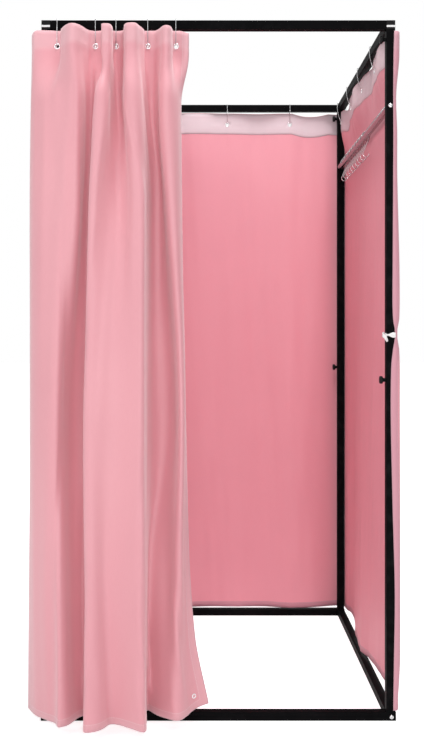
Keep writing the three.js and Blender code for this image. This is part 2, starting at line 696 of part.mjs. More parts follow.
function backTopPlaces() {
  const waves = backWaveShares.map((share) => share * WALL_WAVE);
  const inner = SIDE_X - HALF_TUBE;
  const knobClear = inner - KNOB_NECK_HEIGHT - KNOB_HEAD_HEIGHT - WALL_CLEARANCE / 2;
  const lastHook = backHookX[backHookX.length - 1];
  return [
    [-FRAME_WIDTH / 2, BACK_OUT],
    [-inner, BACK_OUT],
    [-knobClear, BACK_OUT * backShoulderShare],
    [(backHookX[0] - EYELET_FLAT / 2 - knobClear) / 2, BACK_OUT * backEaseShare],
    ...hookedPlaces(backHookX, waves, wallShares),
    ...backTrailShares.map(([alongShare, outShare]) =>
      [lastHook + (knobClear - lastHook) * alongShare, BACK_OUT * outShare]),
    [knobClear, BACK_OUT * backShoulderShare],
    [inner, BACK_OUT],
    [FRAME_WIDTH / 2, BACK_OUT],
  ];
}

// The back wall's hem: shares of the half width, and of the wave, outwards.
function backHemPlaces() {
  const hemShares = [
    [-0.86, 0.2], [-0.6, 0.9], [-0.35, 0.1], [-0.1, 0.8], [0.15, -0.2], [0.4, 0.6], [0.62, -0.5],
    [0.82, 0.4],
  ];
  const ends = backTopPlaces();
  return [
    ...ends.slice(0, 3),
    ...hemShares.map(([acrossShare, outShare]) => [SIDE_X * acrossShare, WALL_WAVE * outShare]),
    ...ends.slice(-3),
  ];
}

function backCurtain() {
  const inPlan = (places) => places.map(([along, out]) => [along, BACK_Y + out]);
  const sagged = (share) => CLOTH_TOP
    - TOP_SAG * Math.max(0, 1 - ((share - TOP_SAG_SHARE) / TOP_SAG_HALF_SHARE) ** 2);
  const cloth = hangingCloth([
    { height: sagged, places: inPlan(backTopPlaces()) },
    { height: EYELET_Z - EYELET_HOLE * 2, places: inPlan(backTopPlaces()), rows: 1 },
    { height: CLOTH_BOTTOM, places: inPlan(backHemPlaces()), rows: 5 },
  ]);
  return cut(cloth, backHookX.map((x) => eyeletHole(0, x, BACK_Y)));
}

// Assembly

const fittingRoom = new THREE.Group();
const ends = [['front', 0], ['back', BACK_Y]];
const sides = [['left', -1], ['right', 1]];

for (const [end, y] of ends) {
  fittingRoom.add(placed(named(`bottom_rail_${end}`, crossBottomRail(), POWDER_COAT), 0, y, 0));
  fittingRoom.add(placed(named(`top_rail_${end}`, crossTopRail(), POWDER_COAT), 0, y, 0));
  for (const [sideName, side] of sides) {
    const place = (mesh) => placed(mesh, side * SIDE_X, y, 0);
    const corner = `${end}_${sideName}`;
    fittingRoom.add(place(named(`lower_upright_${corner}`, lowerUpright(side), POWDER_COAT)));
    fittingRoom.add(place(named(`upper_upright_${corner}`, upperUpright(side, side > 0), POWDER_COAT)));
    for (const [level, height] of [['middle', UPRIGHT_SEAM], ['upper', RAIL_UNDERSIDE]]) {
      const screw = clampKnob().rotateY(-side * Math.PI / 2);
      const knob = named(`clamp_knob_${level}_${corner}`, screw, BLACK_PLASTIC);
      fittingRoom.add(placed(knob, side * (SIDE_X - HALF_TUBE), y, height - KNOB_DROP));
    }
  }
}

for (const [sideName, side] of sides) {
  const x = side * SIDE_X;
  const topRail = named(`top_rail_${sideName}`, sideTopRail(side), POWDER_COAT);
  const bottomRail = named(`bottom_rail_${sideName}`, sideBottomRail(), POWDER_COAT);
  const plug = named(`end_plug_${sideName}`, endPlug(), BLACK_PLASTIC);
  fittingRoom.add(placed(topRail, x, 0, 0), placed(bottomRail, x, 0, 0), placed(plug, x, 0, TOP_RAIL_Z));
}

const hangingRail = named('clothes_rail', clothesRail(), CHROME);
fittingRoom.add(placed(hangingRail, CLOTHES_RAIL_X, 0, CLOTHES_RAIL_HEIGHT));
const frontBolt = named('clothes_rail_bolt_front', railBolt(), CHROME);
fittingRoom.add(placed(frontBolt, CLOTHES_RAIL_X, -HALF_TUBE, CLOTHES_RAIL_HEIGHT));
const backBolt = named('clothes_rail_bolt_back', railBolt().rotateZ(Math.PI), CHROME);
fittingRoom.add(placed(backBolt, CLOTHES_RAIL_X, BACK_Y + HALF_TUBE, CLOTHES_RAIL_HEIGHT));

for (let index = 0; index < S_HOOK_COUNT; index++) {
  const hook = named(`s_hook_${index + 1}`, sHook(), CHROME);
  const y = S_HOOK_LAST - S_HOOK_PITCH * (S_HOOK_COUNT - 1 - index);
  fittingRoom.add(placed(hook, CLOTHES_RAIL_X, y, CLOTHES_RAIL_HEIGHT));
}

frontHookX.forEach((x, index) => {
  const loop = curtainHook(-FRONT_CLOTH_OFFSET).rotateZ(Math.PI / 2);
  fittingRoom.add(placed(named(`front_curtain_hook_${index + 1}`, loop, CHROME), x, 0, 0));
});
backHookX.forEach((x, index) => {
  const loop = curtainHook(0).rotateZ(Math.PI / 2);
  fittingRoom.add(placed(named(`back_curtain_hook_${index + 1}`, loop, CHROME), x, BACK_Y, 0));
});
for (const [sideName, side] of sides) {
  sideHookY.forEach((y, index) => {
    const hook = named(`${sideName}_curtain_hook_${index + 1}`, curtainHook(0), CHROME);
    fittingRoom.add(placed(hook, side * SIDE_X, y, 0));
  });
}

fittingRoom.add(named('front_curtain', frontCurtain(), PINK_CLOTH));
fittingRoom.add(named('back_curtain', backCurtain(), PINK_CLOTH));
fittingRoom.add(named('left_curtain', sideCurtain(-1), PINK_CLOTH));
fittingRoom.add(named('right_curtain', sideCurtain(1), PINK_CLOTH));

export default fittingRoom;
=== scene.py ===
import math

import bpy
import numpy as np
from mathutils import Matrix, Vector


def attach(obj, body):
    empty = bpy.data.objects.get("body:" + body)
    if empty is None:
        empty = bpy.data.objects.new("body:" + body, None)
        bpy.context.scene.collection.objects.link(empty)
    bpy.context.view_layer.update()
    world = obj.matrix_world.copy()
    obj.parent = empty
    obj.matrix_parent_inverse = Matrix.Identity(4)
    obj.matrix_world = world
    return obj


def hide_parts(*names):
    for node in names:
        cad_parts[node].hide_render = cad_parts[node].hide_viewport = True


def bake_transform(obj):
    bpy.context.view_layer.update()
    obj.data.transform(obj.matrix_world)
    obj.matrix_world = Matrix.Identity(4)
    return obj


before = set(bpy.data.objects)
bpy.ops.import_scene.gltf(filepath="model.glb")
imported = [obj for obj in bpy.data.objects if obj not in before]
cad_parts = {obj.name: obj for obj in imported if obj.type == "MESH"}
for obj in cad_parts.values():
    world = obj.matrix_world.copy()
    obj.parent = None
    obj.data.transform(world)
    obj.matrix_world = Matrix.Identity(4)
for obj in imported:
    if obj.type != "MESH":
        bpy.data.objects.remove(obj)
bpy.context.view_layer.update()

# Camera, from the photograph's one-point perspective
CAMERA_PLACE = (-0.0335, -2.636, 1.0975)
SENSOR = 36
PHOTO_HEIGHT = 756
FOCAL_PIXELS = 928.6
SHIFT = (0.0073, -0.0602)

# Frame, in metres, as in the CAD model
HALF_TUBE = 0.0125
SIDE_X = 0.4875
OUTER_X = SIDE_X + HALF_TUBE
BACK_Y = 0.975
TOP_RAIL_Z = 1.9675
UPRIGHT_FACE = SIDE_X - HALF_TUBE
KNOB_CLEAR = UPRIGHT_FACE - 0.017 - 0.00175
SIDES = (("left", -1), ("right", 1))
ENDS = (("front", 0), ("back", BACK_Y))
TUBE_CORNER = 0.0016
EDGE_CORNER = 0.0005
WELD_REACH = 0.00001
KNOB_HEIGHTS = (("middle", 0.963), ("upper", 1.928))

# Curtains, as in the CAD model
CLOTH_TOP = 1.948
CLOTH_BOTTOM = 0.031
CLOTH_LENGTH = CLOTH_TOP - CLOTH_BOTTOM
EYELET_DOWN = 0.0435
FRONT_OFFSET = 0.017
FRONT_HOOK_FIRST = -0.4545
FRONT_HOOK_SPAN = 0.3347
FRONT_HOOK_SHARES = (0, 0.3224, 0.4963, 0.7637, 1)
FRONT_HOOKS = [FRONT_HOOK_FIRST + FRONT_HOOK_SPAN * share for share in FRONT_HOOK_SHARES]
SIDE_HOOKS = (0.237, 0.472, 0.707, 0.942)
BACK_HOOKS = (-0.439, -0.196, 0.047, 0.29)
WALL_OUT = 0.016
WALL_EASE = 0.004
WALL_WAVE = 0.012
BACK_OUT = 0.01895
CLOTHES_RAIL_X = 0.486
CLOTHES_RAIL_Z = 1.739
CLOTHES_RAIL_RADIUS = 0.011
RAIL_CORNER = 0.0003
S_HOOK_FALL = 0.086
RAIL_PASS_OUT = 0.018

# Cloth
HALF_CLOTH = 0.00045
HEM_WIDTH = 0.02
HEM_GROWTH = 0.00035
HEADER_DEPTH = 0.08
HALF_TAPE = 0.00025
TAPE_GAP = 0.00012
EYELET_HALF = 0.005
CORNER_EYELET_INSET = 0.03
SLIT_HALF = 0.0022
FRONT_STEP = (0.0055, 0.012)
WALL_STEP = (0.01, 0.014)


# Shapes in plan


def hermite(t, start, leave, end, arrive):
    """The cubic from start to end that leaves and arrives with these slopes."""
    return (
        start * (2 * t**3 - 3 * t**2 + 1)
        + leave * (t**3 - 2 * t**2 + t)
        + end * (3 * t**2 - 2 * t**3)
        + arrive * (t**3 - t**2)
    )


def through(places, per_span=24):
    """A smooth centripetal curve through places."""
    points = np.array(places, float)
    padded = np.vstack([2 * points[0] - points[1], points, 2 * points[-1] - points[-2]])
    t = np.linspace(0, 1, per_span, endpoint=False)[:, None]
    spans = []
    for p0, p1, p2, p3 in zip(padded[:-3], padded[1:-2], padded[2:-1], padded[3:]):
        d0, d1, d2 = (np.linalg.norm(b - a) ** 0.5 for a, b in ((p0, p1), (p1, p2), (p2, p3)))
        m1 = ((p1 - p0) / d0 - (p2 - p0) / (d0 + d1) + (p2 - p1) / d1) * d1
        m2 = ((p2 - p1) / d1 - (p3 - p1) / (d1 + d2) + (p3 - p2) / d2) * d1
        spans.append(hermite(t, p1, m1, p2, m2))
    return np.vstack([*spans, points[-1:]])


def lengths(points):
    return np.concatenate([[0], np.cumsum(np.linalg.norm(np.diff(points, axis=0), axis=1))])


def at_shares(places, shares):
    """Points at shares of the length of the curve through places."""
    points = through(places)
    run = lengths(points)
    return np.stack([np.interp(shares * run[-1], run, points[:, axis]) for axis in (0, 1)], axis=1)


def nearest_length(points, place):
    """How far along the points the one nearest to a place lies."""
    run = lengths(points)
    return run[np.argmin(np.linalg.norm(points - np.array(place), axis=1))]


def marked(end, step, marks):
    """Places from 0 to end, about a step apart, that also hold the marks."""
    marks = np.array(sorted(marks))
    run = np.linspace(0, end, round(end / step) + 1)
    clear = np.min(np.abs(run[:, None] - marks), axis=1) > step * 0.4
    clear[[0, -1]] = True
    return np.sort(np.concatenate([run[clear], marks]))


def eased(downs, plans, rows):
    """Plans at the rows' places, eased from level to level without overshoot."""
    downs = np.array(downs, float)
    steps = np.diff(downs)
    slopes = np.diff(plans, axis=0) / steps[:, None, None]
    bends = np.zeros_like(plans)
    bends[-1] = slopes[-1]
    for level in range(1, len(downs) - 1):
        above, below = slopes[level - 1], slopes[level]
        a = 2 * steps[level] + steps[level - 1]
        b = steps[level] + 2 * steps[level - 1]
        same = above * below > 0
        safe_above = np.where(same, above, 1)
        safe_below = np.where(same, below, 1)
        bends[level] = np.where(same, (a + b) / (a / safe_above + b / safe_below), 0)
    made = []
    for row in rows:
        level = min(int(np.searchsorted(downs, row, side="right")) - 1, len(downs) - 2)
        width = steps[level]
        t = (row - downs[level]) / width
        leave, arrive = bends[level] * width, bends[level + 1] * width
        made.append(hermite(t, plans[level], leave, plans[level + 1], arrive))
    return np.array(made)


def ripple(across, down, wide, tall, seed, waves=7):
    """Smooth seeded waves from about -1 to 1, about wide by tall metres."""
    rng = np.random.default_rng(seed)
    total = np.zeros(np.broadcast(across, down).shape)
    for _ in range(waves):
        u_size = wide * rng.uniform(0.6, 1.7)
        v_size = tall * rng.uniform(0.7, 1.8) * rng.choice((-1, 1))
        phase = rng.uniform(0, 2 * math.pi)
        total += np.cos(2 * math.pi * (across / u_size + down / v_size) + phase)
    return total / (waves * 0.55)


def ramp(value, start, end):
    t = np.clip((value - start) / (end - start), 0, 1)
    return t * t * (3 - 2 * t)


def nearest(values, wanted):
    return int(np.argmin(np.abs(values - wanted)))


def unit(vectors):
    return vectors / np.linalg.norm(vectors, axis=-1, keepdims=True)


def grid_normals(points):
    return unit(np.cross(np.gradient(points, axis=1), np.gradient(points, axis=0)))


# Meshes


def new_mesh(name, points, faces, material, smooth=True):
    mesh = bpy.data.meshes.new(name)
    mesh.from_pydata([tuple(point) for point in points], [], faces)
    mesh.polygons.foreach_set("use_smooth", [smooth] * len(mesh.polygons))
    mesh.materials.append(material)
    mesh.update()
    made = bpy.data.objects.new(name, mesh)
    bpy.context.collection.objects.link(made)
    return made


def cloth_piece(name, grid, half, uv, holes, material):
    """A closed sheet round a grid of points, with a rounded edge. holes maps the grid place
    of a hole's centre to its half width and half height."""
    grid = grid.copy()
    rows, columns = grid.shape[:2]
    ring = ((0, 1), (1, 1), (1, 0), (1, -1), (0, -1), (-1, -1), (-1, 0), (-1, 1))
    for (row, column), (half_wide, half_tall) in holes.items():
        centre = grid[row, column].copy()
        wide = unit(grid[row, column + 1] - grid[row, column - 1])
        tall = unit(grid[row + 1, column] - grid[row - 1, column])
        for down, across in ring:
            angle = math.atan2(down, across)
            offset = half_wide * math.cos(angle) * wide + half_tall * math.sin(angle) * tall
            grid[row + down, column + across] = centre + offset
    offsets = grid_normals(grid) * half[..., None]
    count = rows * columns
    loop = [(0, c) for c in range(columns - 1)]
    loop += [(r, columns - 1) for r in range(rows - 1)]
    loop += [(rows - 1, c) for c in range(columns - 1, 0, -1)]
    loop += [(r, 0) for r in range(rows - 1, 0, -1)]
    middle = []
    for row, column in loop:
        inner = grid[min(max(row, 1), rows - 2), min(max(column, 1), columns - 2)]
        middle.append(grid[row, column] + unit(grid[row, column] - inner) * half[row, column])
    points = np.vstack([(grid + offsets).reshape(-1, 3), (grid - offsets).reshape(-1, 3), middle])
    cut = {(row + down, column + across) for row, column in holes for down in (-1, 0) for across in (-1, 0)}
    faces = []
    for row in range(rows - 1):
        for column in range(columns - 1):
            if (row, column) in cut:
                continue
            a = row * columns + column
            quad = (a, a + 1, a + columns + 1, a + columns)
            faces.append(quad)
            faces.append(tuple(count + corner for corner in reversed(quad)))
    at = [row * columns + column for row, column in loop]
    for index, here in enumerate(at):
        ahead = (index + 1) % len(at)
        there = at[ahead]
        faces.append((there, here, 2 * count + index, 2 * count + ahead))
        faces.append((2 * count + ahead, 2 * count + index, count + here, count + there))
    for row, column in holes:
        edge = [(row + down) * columns + column + across for down, across in reversed(ring)]
        for here, there in zip(edge, edge[1:] + edge[:1]):
            faces.append((there, here, count + here, count + there))
    made = new_mesh(name, points, faces, material)
    flat = uv.reshape(-1, 2)
    corner_uv = np.vstack([flat, flat, flat[at]])
    corners = np.empty(len(made.data.loops), int)
    made.data.loops.foreach_get("vertex_index", corners)
    layer = made.data.uv_layers.new(name="cloth")
    layer.data.foreach_set("uv", corner_uv[corners].ravel())
    return made


def turned(name, outline, sides, material, flute=None):
    """A closed body turned about Z from (radius, height) corners. flute gives how far a
    corner's radius changes with the angle."""
    points, faces, rings = [], [], []
    for index, (radius, height) in enumerate(outline):
        if radius == 0:
            rings.append([len(points)] * sides)
            points.append((0, 0, height))
            continue
        rings.append(list(range(len(points), len(points) + sides)))
        for side in range(sides):
            angle = 2 * math.pi * side / sides
            out = radius + (flute(index, angle) if flute else 0)
            points.append((out * math.cos(angle), out * math.sin(angle), height))
    uppers = rings[1:] + rings[:1] if outline[0][0] else rings[1:]
    for lower, upper in zip(rings, uppers):
        for side in range(sides):
            ahead = (side + 1) % sides
            face = tuple(dict.fromkeys((lower[side], lower[ahead], upper[ahead], upper[side])))
            if len(face) > 2:
                faces.append(face)
    return new_mesh(name, points, faces, material)


def stand(piece, place, direction):
    """Puts a piece made about Z at a place, with its Z along a direction."""
    turn = Vector((0, 0, 1)).rotation_difference(Vector(direction)).to_matrix().to_4x4()
    piece.matrix_world = Matrix.Translation(place) @ turn
    return piece


def soften(piece, width, segments=2):
    bevel = piece.modifiers.new("edge", "BEVEL")
    bevel.width = width
    bevel.segments = segments
    bevel.limit_method = "ANGLE"
    bevel.angle_limit = math.radians(30)
    bevel.harden_normals = True
    return piece


# Materials


class Nodes:
    """Short calls for a material's node tree."""

    def __init__(self, name):
        self.material = bpy.data.materials.new(name)
        self.material.use_nodes = True
        self.tree = self.material.node_tree
        self.shader = self.tree.nodes["Principled BSDF"]

    def link(self, source, target):
        self.tree.links.new(source, target)

    def new(self, kind):
        return self.tree.nodes.new(kind)

    def feed(self, socket, value):
        if isinstance(value, bpy.types.NodeSocket):
            self.link(value, socket)
        else:
            socket.default_value = value

    def fill(self, node, **values):
        """Sets or links a node's inputs, with _ for a space in a name. Gives its first output."""
        for name, value in values.items():
            self.feed(node.inputs[name.replace("_", " ")], value)
        return node.outputs[0]

    def math(self, operation, *values):
        node = self.new("ShaderNodeMath")
        node.operation = operation
        for socket, value in zip(node.inputs, values):
            self.feed(socket, value)
        return node.outputs[0]

    def wave(self, value, period):
        return self.math("SINE", self.math("MULTIPLY", value, 2 * math.pi / period))

    def steps(self, value, stops):
        """A smooth ramp of the value through (place, colour or number) stops."""
        node = self.new("ShaderNodeValToRGB")
        elements = node.color_ramp.elements
        while len(elements) < len(stops):
            elements.new(0.5)
        for element, (place, colour) in zip(elements, stops):
            element.position = place
            element.color = (*colour, 1) if isinstance(colour, tuple) else (colour, colour, colour, 1)
        self.link(value, node.inputs[0])
        return node.outputs[0]

    def noise(self, scale, detail=2, stretch=None, source="Object"):
        place = self.new("ShaderNodeTexCoord").outputs[source]
        if stretch:
            place = self.fill(self.new("ShaderNodeMapping"), Vector=place, Scale=stretch)
        return self.fill(self.new("ShaderNodeTexNoise"), Vector=place, Scale=scale, Detail=detail)

    def mix(self, share, first, second):
        node = self.new("ShaderNodeMix")
        node.data_type = "RGBA"
        self.feed(node.inputs["Factor"], share)
        for socket, value in zip([s for s in node.inputs if s.type == "RGBA"], (first, second)):
            self.feed(socket, (*value, 1) if isinstance(value, tuple) else value)
        return [s for s in node.outputs if s.type == "RGBA"][0]

    def bump(self, height, distance, strength, **below):
        node = self.new("ShaderNodeBump")
        return self.fill(node, Height=height, Distance=distance, Strength=strength, **below)

    def set(self, **values):
        self.fill(self.shader, **values)
        return self.material


def powder_coat():
    nodes = Nodes("powder_coat")
    cloud = nodes.noise(6, 3)
    grain = nodes.noise(900, 2)
    worn = nodes.noise(45, 4)
    edge = nodes.new("ShaderNodeNewGeometry").outputs["Pointiness"]
    sharp = nodes.steps(edge, [(0.52, 0.0), (0.6, 1.0)])
    rub = nodes.math("MULTIPLY", sharp, nodes.steps(worn, [(0.5, 0.0), (0.7, 1.0)]))
    base = nodes.steps(cloud, [(0.35, (0.0044, 0.0043, 0.0048)), (0.65, (0.0058, 0.0056, 0.0062))])
    colour = nodes.mix(rub, base, (0.0105, 0.0102, 0.011))
    rough = nodes.steps(worn, [(0.3, 0.41), (0.7, 0.46)])
    normal = nodes.bump(grain, 0.0002, 0.35)
    return nodes.set(Base_Color=colour, Roughness=rough, Normal=normal, Specular_IOR_Level=0.03, IOR=1.2)


def moulded_plastic(name, dark, light):
    nodes = Nodes(name)
    cloud = nodes.noise(60, 3)
    grain = nodes.noise(1500, 2)
    colour = nodes.steps(cloud, [(0.35, dark), (0.65, light)])
    rough = nodes.steps(cloud, [(0.3, 0.42), (0.7, 0.55)])
    normal = nodes.bump(grain, 0.0001, 0.25)
    return nodes.set(Base_Color=colour, Roughness=rough, Normal=normal, Specular_IOR_Level=0.12)


def plated_steel(name, tone, roughness, scratch):
    nodes = Nodes(name)
    cloud = nodes.noise(35, 3)
    fine = nodes.noise(700, 2, stretch=scratch)
    light = tone * 1.12
    colour = nodes.steps(cloud, [(0.3, (tone, tone, tone * 1.02)), (0.7, (light, light, tone * 1.13))])
    rough = nodes.steps(fine, [(0.3, roughness * 0.75), (0.7, roughness * 1.35)])
    normal = nodes.bump(fine, 0.00004, 0.3)
    return nodes.set(Base_Color=colour, Roughness=rough, Normal=normal, Metallic=1.0)


THREAD = 0.0011
STITCH = 0.0042
STITCH_HALF = 0.0006
STITCH_GAP = -0.35
HEADER_SEAM = 0.004
HEM_SEAM = HEM_WIDTH - 0.002
CUT_EDGE = 0.0016
CUT_EDGE_TONE = (0.42, 0.29, 0.32)


def woven(name, size, tones, gloss, sheen, header=False):
    """Cloth woven along its flat metres. Hems on all sides, sewn with a running stitch."""
    width, length = size
    base, light, slub_tone, stitch_tone, hem_tone, lit_header_tone = tones
    nodes = Nodes(name)
    flat = nodes.new("ShaderNodeSeparateXYZ")
    nodes.link(nodes.new("ShaderNodeTexCoord").outputs["UV"], flat.inputs[0])
    across, down = flat.outputs[0], flat.outputs[1]
    side = nodes.math("MINIMUM", across, nodes.math("SUBTRACT", width, across))
    inset = nodes.math("MINIMUM", side, nodes.math("SUBTRACT", length, down))
    if header:
        inset = nodes.math("MINIMUM", inset, down)
    seam = HEADER_SEAM if header else HEM_SEAM
    off_seam = nodes.math("ABSOLUTE", nodes.math("SUBTRACT", inset, seam))
    on_seam = nodes.math("LESS_THAN", off_seam, STITCH_HALF)
    beat = nodes.wave(nodes.math("ADD", across, down), STITCH)
    thread = nodes.math("MULTIPLY", on_seam, nodes.math("GREATER_THAN", beat, STITCH_GAP))
    doubled = nodes.math("LESS_THAN", inset, HEM_WIDTH)
    weave = nodes.math("MULTIPLY", nodes.wave(across, THREAD), nodes.wave(down, THREAD))
    slub = nodes.noise(55, 3, stretch=(14, 1, 1), source="UV")
    cloud = nodes.noise(2.2, 2)
    height = nodes.math("ADD", nodes.math("MULTIPLY", weave, 0.35), slub)
    colour = nodes.steps(cloud, [(0.3, base), (0.7, light)])
    colour = nodes.mix(nodes.steps(slub, [(0.4, 0.0), (0.75, 0.1)]), colour, slub_tone)
    # Painted light: the top band, down to about the eyelets, is painted paler, standing in for the light on
    # the flat header, whose folds hold less shade.
    colour = nodes.mix(nodes.steps(down, [(0.044, 0.38), (0.058, 0.0)]), colour, lit_header_tone)
    # The band along the hems is dulled towards the hem tone, which is dark on the walls.
    colour = nodes.mix(nodes.math("MULTIPLY", doubled, 0.35), colour, hem_tone)
    cut_edge = nodes.math("LESS_THAN", inset, CUT_EDGE)
    colour = nodes.mix(nodes.math("MULTIPLY", cut_edge, 0.45), colour, CUT_EDGE_TONE)
    colour = nodes.mix(nodes.math("MULTIPLY", thread, 0.5), colour, stitch_tone)
    rough = nodes.steps(slub, [(0.35, 0.52), (0.75, 0.64)])
    fine = nodes.bump(height, 0.00015, 0.35)
    stitched = nodes.math("SUBTRACT", thread, nodes.math("MULTIPLY", on_seam, 0.6))
    normal = nodes.bump(stitched, 0.0006, 0.6, Normal=fine)
    nodes.set(Base_Color=colour, Roughness=rough, Normal=normal, Specular_IOR_Level=gloss)
    return nodes.set(Sheen_Weight=sheen, Sheen_Roughness=0.6, Sheen_Tint=(1.0, 0.9, 0.92, 1))


# Tones of a cloth: base, lighter base, slubs, stitches, duller hem band, painted paler header zone.
# The walls and the front curtain are the same cloth, which looks paler where more light falls on it: the
# two tone sets and their finishes are lit and shaded copies of one cloth, painted light.
FRONT_PINK = (
    (0.68, 0.268, 0.313), (0.72, 0.297, 0.342), (0.615, 0.195, 0.24), (0.86, 0.6, 0.63), (0.63, 0.35, 0.39),
    (0.76, 0.46, 0.5),
)
WALL_PINK = (
    (0.82, 0.333, 0.398), (0.86, 0.363, 0.428), (0.75, 0.25, 0.312), (0.88, 0.58, 0.62), (0.19, 0.16, 0.22),
    (0.82, 0.48, 0.53),
)
PALE = (
    (0.72, 0.59, 0.63), (0.78, 0.65, 0.69), (0.66, 0.52, 0.57), (0.87, 0.79, 0.82), (0.7, 0.55, 0.6),
    (0.74, 0.61, 0.65),
)

# A finish is a cloth's tones, specular level and sheen.
FRONT_FINISH = (FRONT_PINK, 1.0, 0.55)
WALL_FINISH = (WALL_PINK, 0.5, 0.1)
TAPE_FINISH = (PALE, 0.4, 0.15)

coat = powder_coat()
black_plastic = moulded_plastic("black_plastic", (0.004, 0.004, 0.0045), (0.0065, 0.0065, 0.007))
# Pale plastic for the painted highlight strips on the front top plugs.
painted_highlight_plastic = moulded_plastic("painted_highlight_plastic", (0.78, 0.78, 0.79), (0.84, 0.84, 0.85))
chrome = plated_steel("chrome", 0.27, 0.22, (1, 1, 6))
wire_chrome = plated_steel("wire_chrome", 0.5, 0.15, (1, 1, 1))
nickel = plated_steel("eyelet_metal", 0.78, 0.3, (1, 1, 1))


# Curtains

FRONT_WRAP = (
    (-0.528, -0.002), (-0.5262, -0.0105), (-0.5195, -0.018), (-0.508, -0.0215), (-0.495, -0.022),
    (-0.48, -0.0205), (-0.4685, -0.0185),
)
# The four folds between the hooks, as shares of the gap, and y.
FRONT_FOLDS = (
    (
        (0.06, -0.033), (0.15, -0.052), (0.3, -0.0745), (0.46, -0.0845), (0.63, -0.0755), (0.78, -0.047),
        (0.91, -0.0215),
    ),
    (
        (0.2, -0.0185), (0.55, -0.0175), (0.7, -0.03), (0.5, -0.05), (0.36, -0.068), (0.4, -0.0785),
        (0.62, -0.081), (0.88, -0.0785), (1.02, -0.062), (1.03, -0.038),
    ),
    (
        (0.16, -0.022), (0.22, -0.045), (0.26, -0.068), (0.36, -0.084), (0.55, -0.089), (0.7, -0.086),
        (0.86, -0.055), (0.97, -0.03),
    ),
    ((0.19, -0.0185), (0.44, -0.04), (0.58, -0.06), (0.74, -0.067), (0.9, -0.058), (0.985, -0.036)),
)
FRONT_FLAT_HALF = 0.0085
FRONT_TRAIL = ((-0.102, -0.019), (-0.093, -0.021), (-0.0835, -0.019))
CORNER_DROPS = ((0.011, 0.035), (0.008, 0.035))
# The front curtain's plans further down, as millimetres left of the middle and in front of the rail, and
# at the hem, as shares of the hooks' span and of the gathers' depth.
FRONT_HIGH = (
    (531, 3), (527, 20), (513, 37), (488, 52), (458, 65), (428, 77), (402, 86), (386, 87), (379, 76),
    (375, 55), (369, 36), (357, 25), (347, 32), (343, 52), (341, 76), (337, 97), (325, 108), (311, 103),
    (302, 86), (299, 62), (295, 40), (284, 28), (271, 34), (265, 54), (263, 80), (257, 102), (244, 111),
    (227, 107), (214, 90), (210, 62), (205, 36), (194, 16), (180, 15), (171, 30), (167, 52), (160, 72),
    (147, 83), (132, 79), (119, 63), (110, 42), (105, 17),
)
FRONT_UPPER = (
    (534, 4), (529, 24), (517, 46), (494, 64), (464, 78), (435, 88), (412, 94), (393, 95), (383, 86),
    (382, 66), (378, 44), (367, 33), (355, 38), (350, 58), (353, 84), (355, 102), (349, 114), (335, 117),
    (317, 100), (297, 81), (275, 74), (256, 87), (241, 108), (229, 118), (213, 121), (203, 114), (202, 90),
    (198, 50), (194, 15), (183, -6), (163, -8), (154, 10), (151, 40), (145, 64), (134, 78), (120, 76),
    (111, 60), (105, 35), (103, 15),
)
FRONT_MIDDLE = (
    (533, 3), (529, 25), (519, 50), (498, 74), (473, 92), (455, 100), (441, 99), (433, 85), (426, 58),
    (417, 34), (401, 17), (377, 10), (362, 18), (360, 42), (363, 76), (368, 108), (366, 126), (355, 134),
    (328, 129), (294, 121), (256, 121), (229, 128), (212, 133), (203, 126), (202, 100), (201, 65), (196, 30),
    (185, 4), (163, -8), (138, -6), (123, 12), (117, 38), (111, 60), (103, 72), (96, 66), (93, 45), (92, 15),
)
FRONT_HEM_SHARES = (
    (-0.255, -0.035), (-0.215, 0.22), (-0.153, 0.53), (-0.056, 0.81), (0.014, 0.98), (0.045, 1.2),
    (0.0625, 1.29), (0.085, 1.25), (0.1186, 1.17), (0.157, 0.977), (0.2135, 0.56), (0.245, 0.5),
    (0.262, 0.8), (0.268, 1.3), (0.278, 1.58), (0.295, 1.62), (0.374, 1.53), (0.4275, 1.346), (0.479, 1.08),
    (0.556, 1.135), (0.642, 1.346), (0.727, 1.553), (0.762, 1.585), (0.775, 1.45), (0.765, 0.9),
    (0.75, 0.35), (0.76, 0.13), (0.8, 0.27), (0.857, 0.511), (0.9575, 0.774), (1.0, 0.844), (1.04, 0.809),
    (1.093, 0.532), (1.13, 0.36), (1.2, 0.2), (1.275, 0.17),
)
GATHER_DEPTH = 0.1
# How far the front curtain's free edge is pulled back above the hem, as (down, pull).
FRONT_PULLS = ((1.5, 0.0217), (1.72, 0.0233))
MIDDLE_DOWN = 1.1
FRONT_DOWNS = (0, 0.06, 0.2, 0.49, MIDDLE_DOWN, *(row[0] for row in FRONT_PULLS), CLOTH_LENGTH)
HEM_LIFT = 0.021
HEM_LIFT_START = 0.93


def hooked(hooks, flat_half, level, folds):
    """Plan places along the hooks: flat at each, and a fold's (share of the gap, out) between them."""
    places = []
    for index, hook in enumerate(hooks):
        end = hook + flat_half
        places += [(hook - flat_half, level), (end, level)]
        if index < len(folds):
            gap = hooks[index + 1] - flat_half - end
            places += [(end + gap * share, out) for share, out in folds[index]]
    return places


def front_top_places():
    return [*FRONT_WRAP, *hooked(FRONT_HOOKS, FRONT_FLAT_HALF, -FRONT_OFFSET, FRONT_FOLDS), *FRONT_TRAIL]


def in_metres(millimetres, sign=1):
    return [(sign * x / 1000, sign * y / 1000) for x, y in millimetres]


def hem_places():
    return [(FRONT_HOOK_FIRST + FRONT_HOOK_SPAN * a, -GATHER_DEPTH * f) for a, f in FRONT_HEM_SHARES]


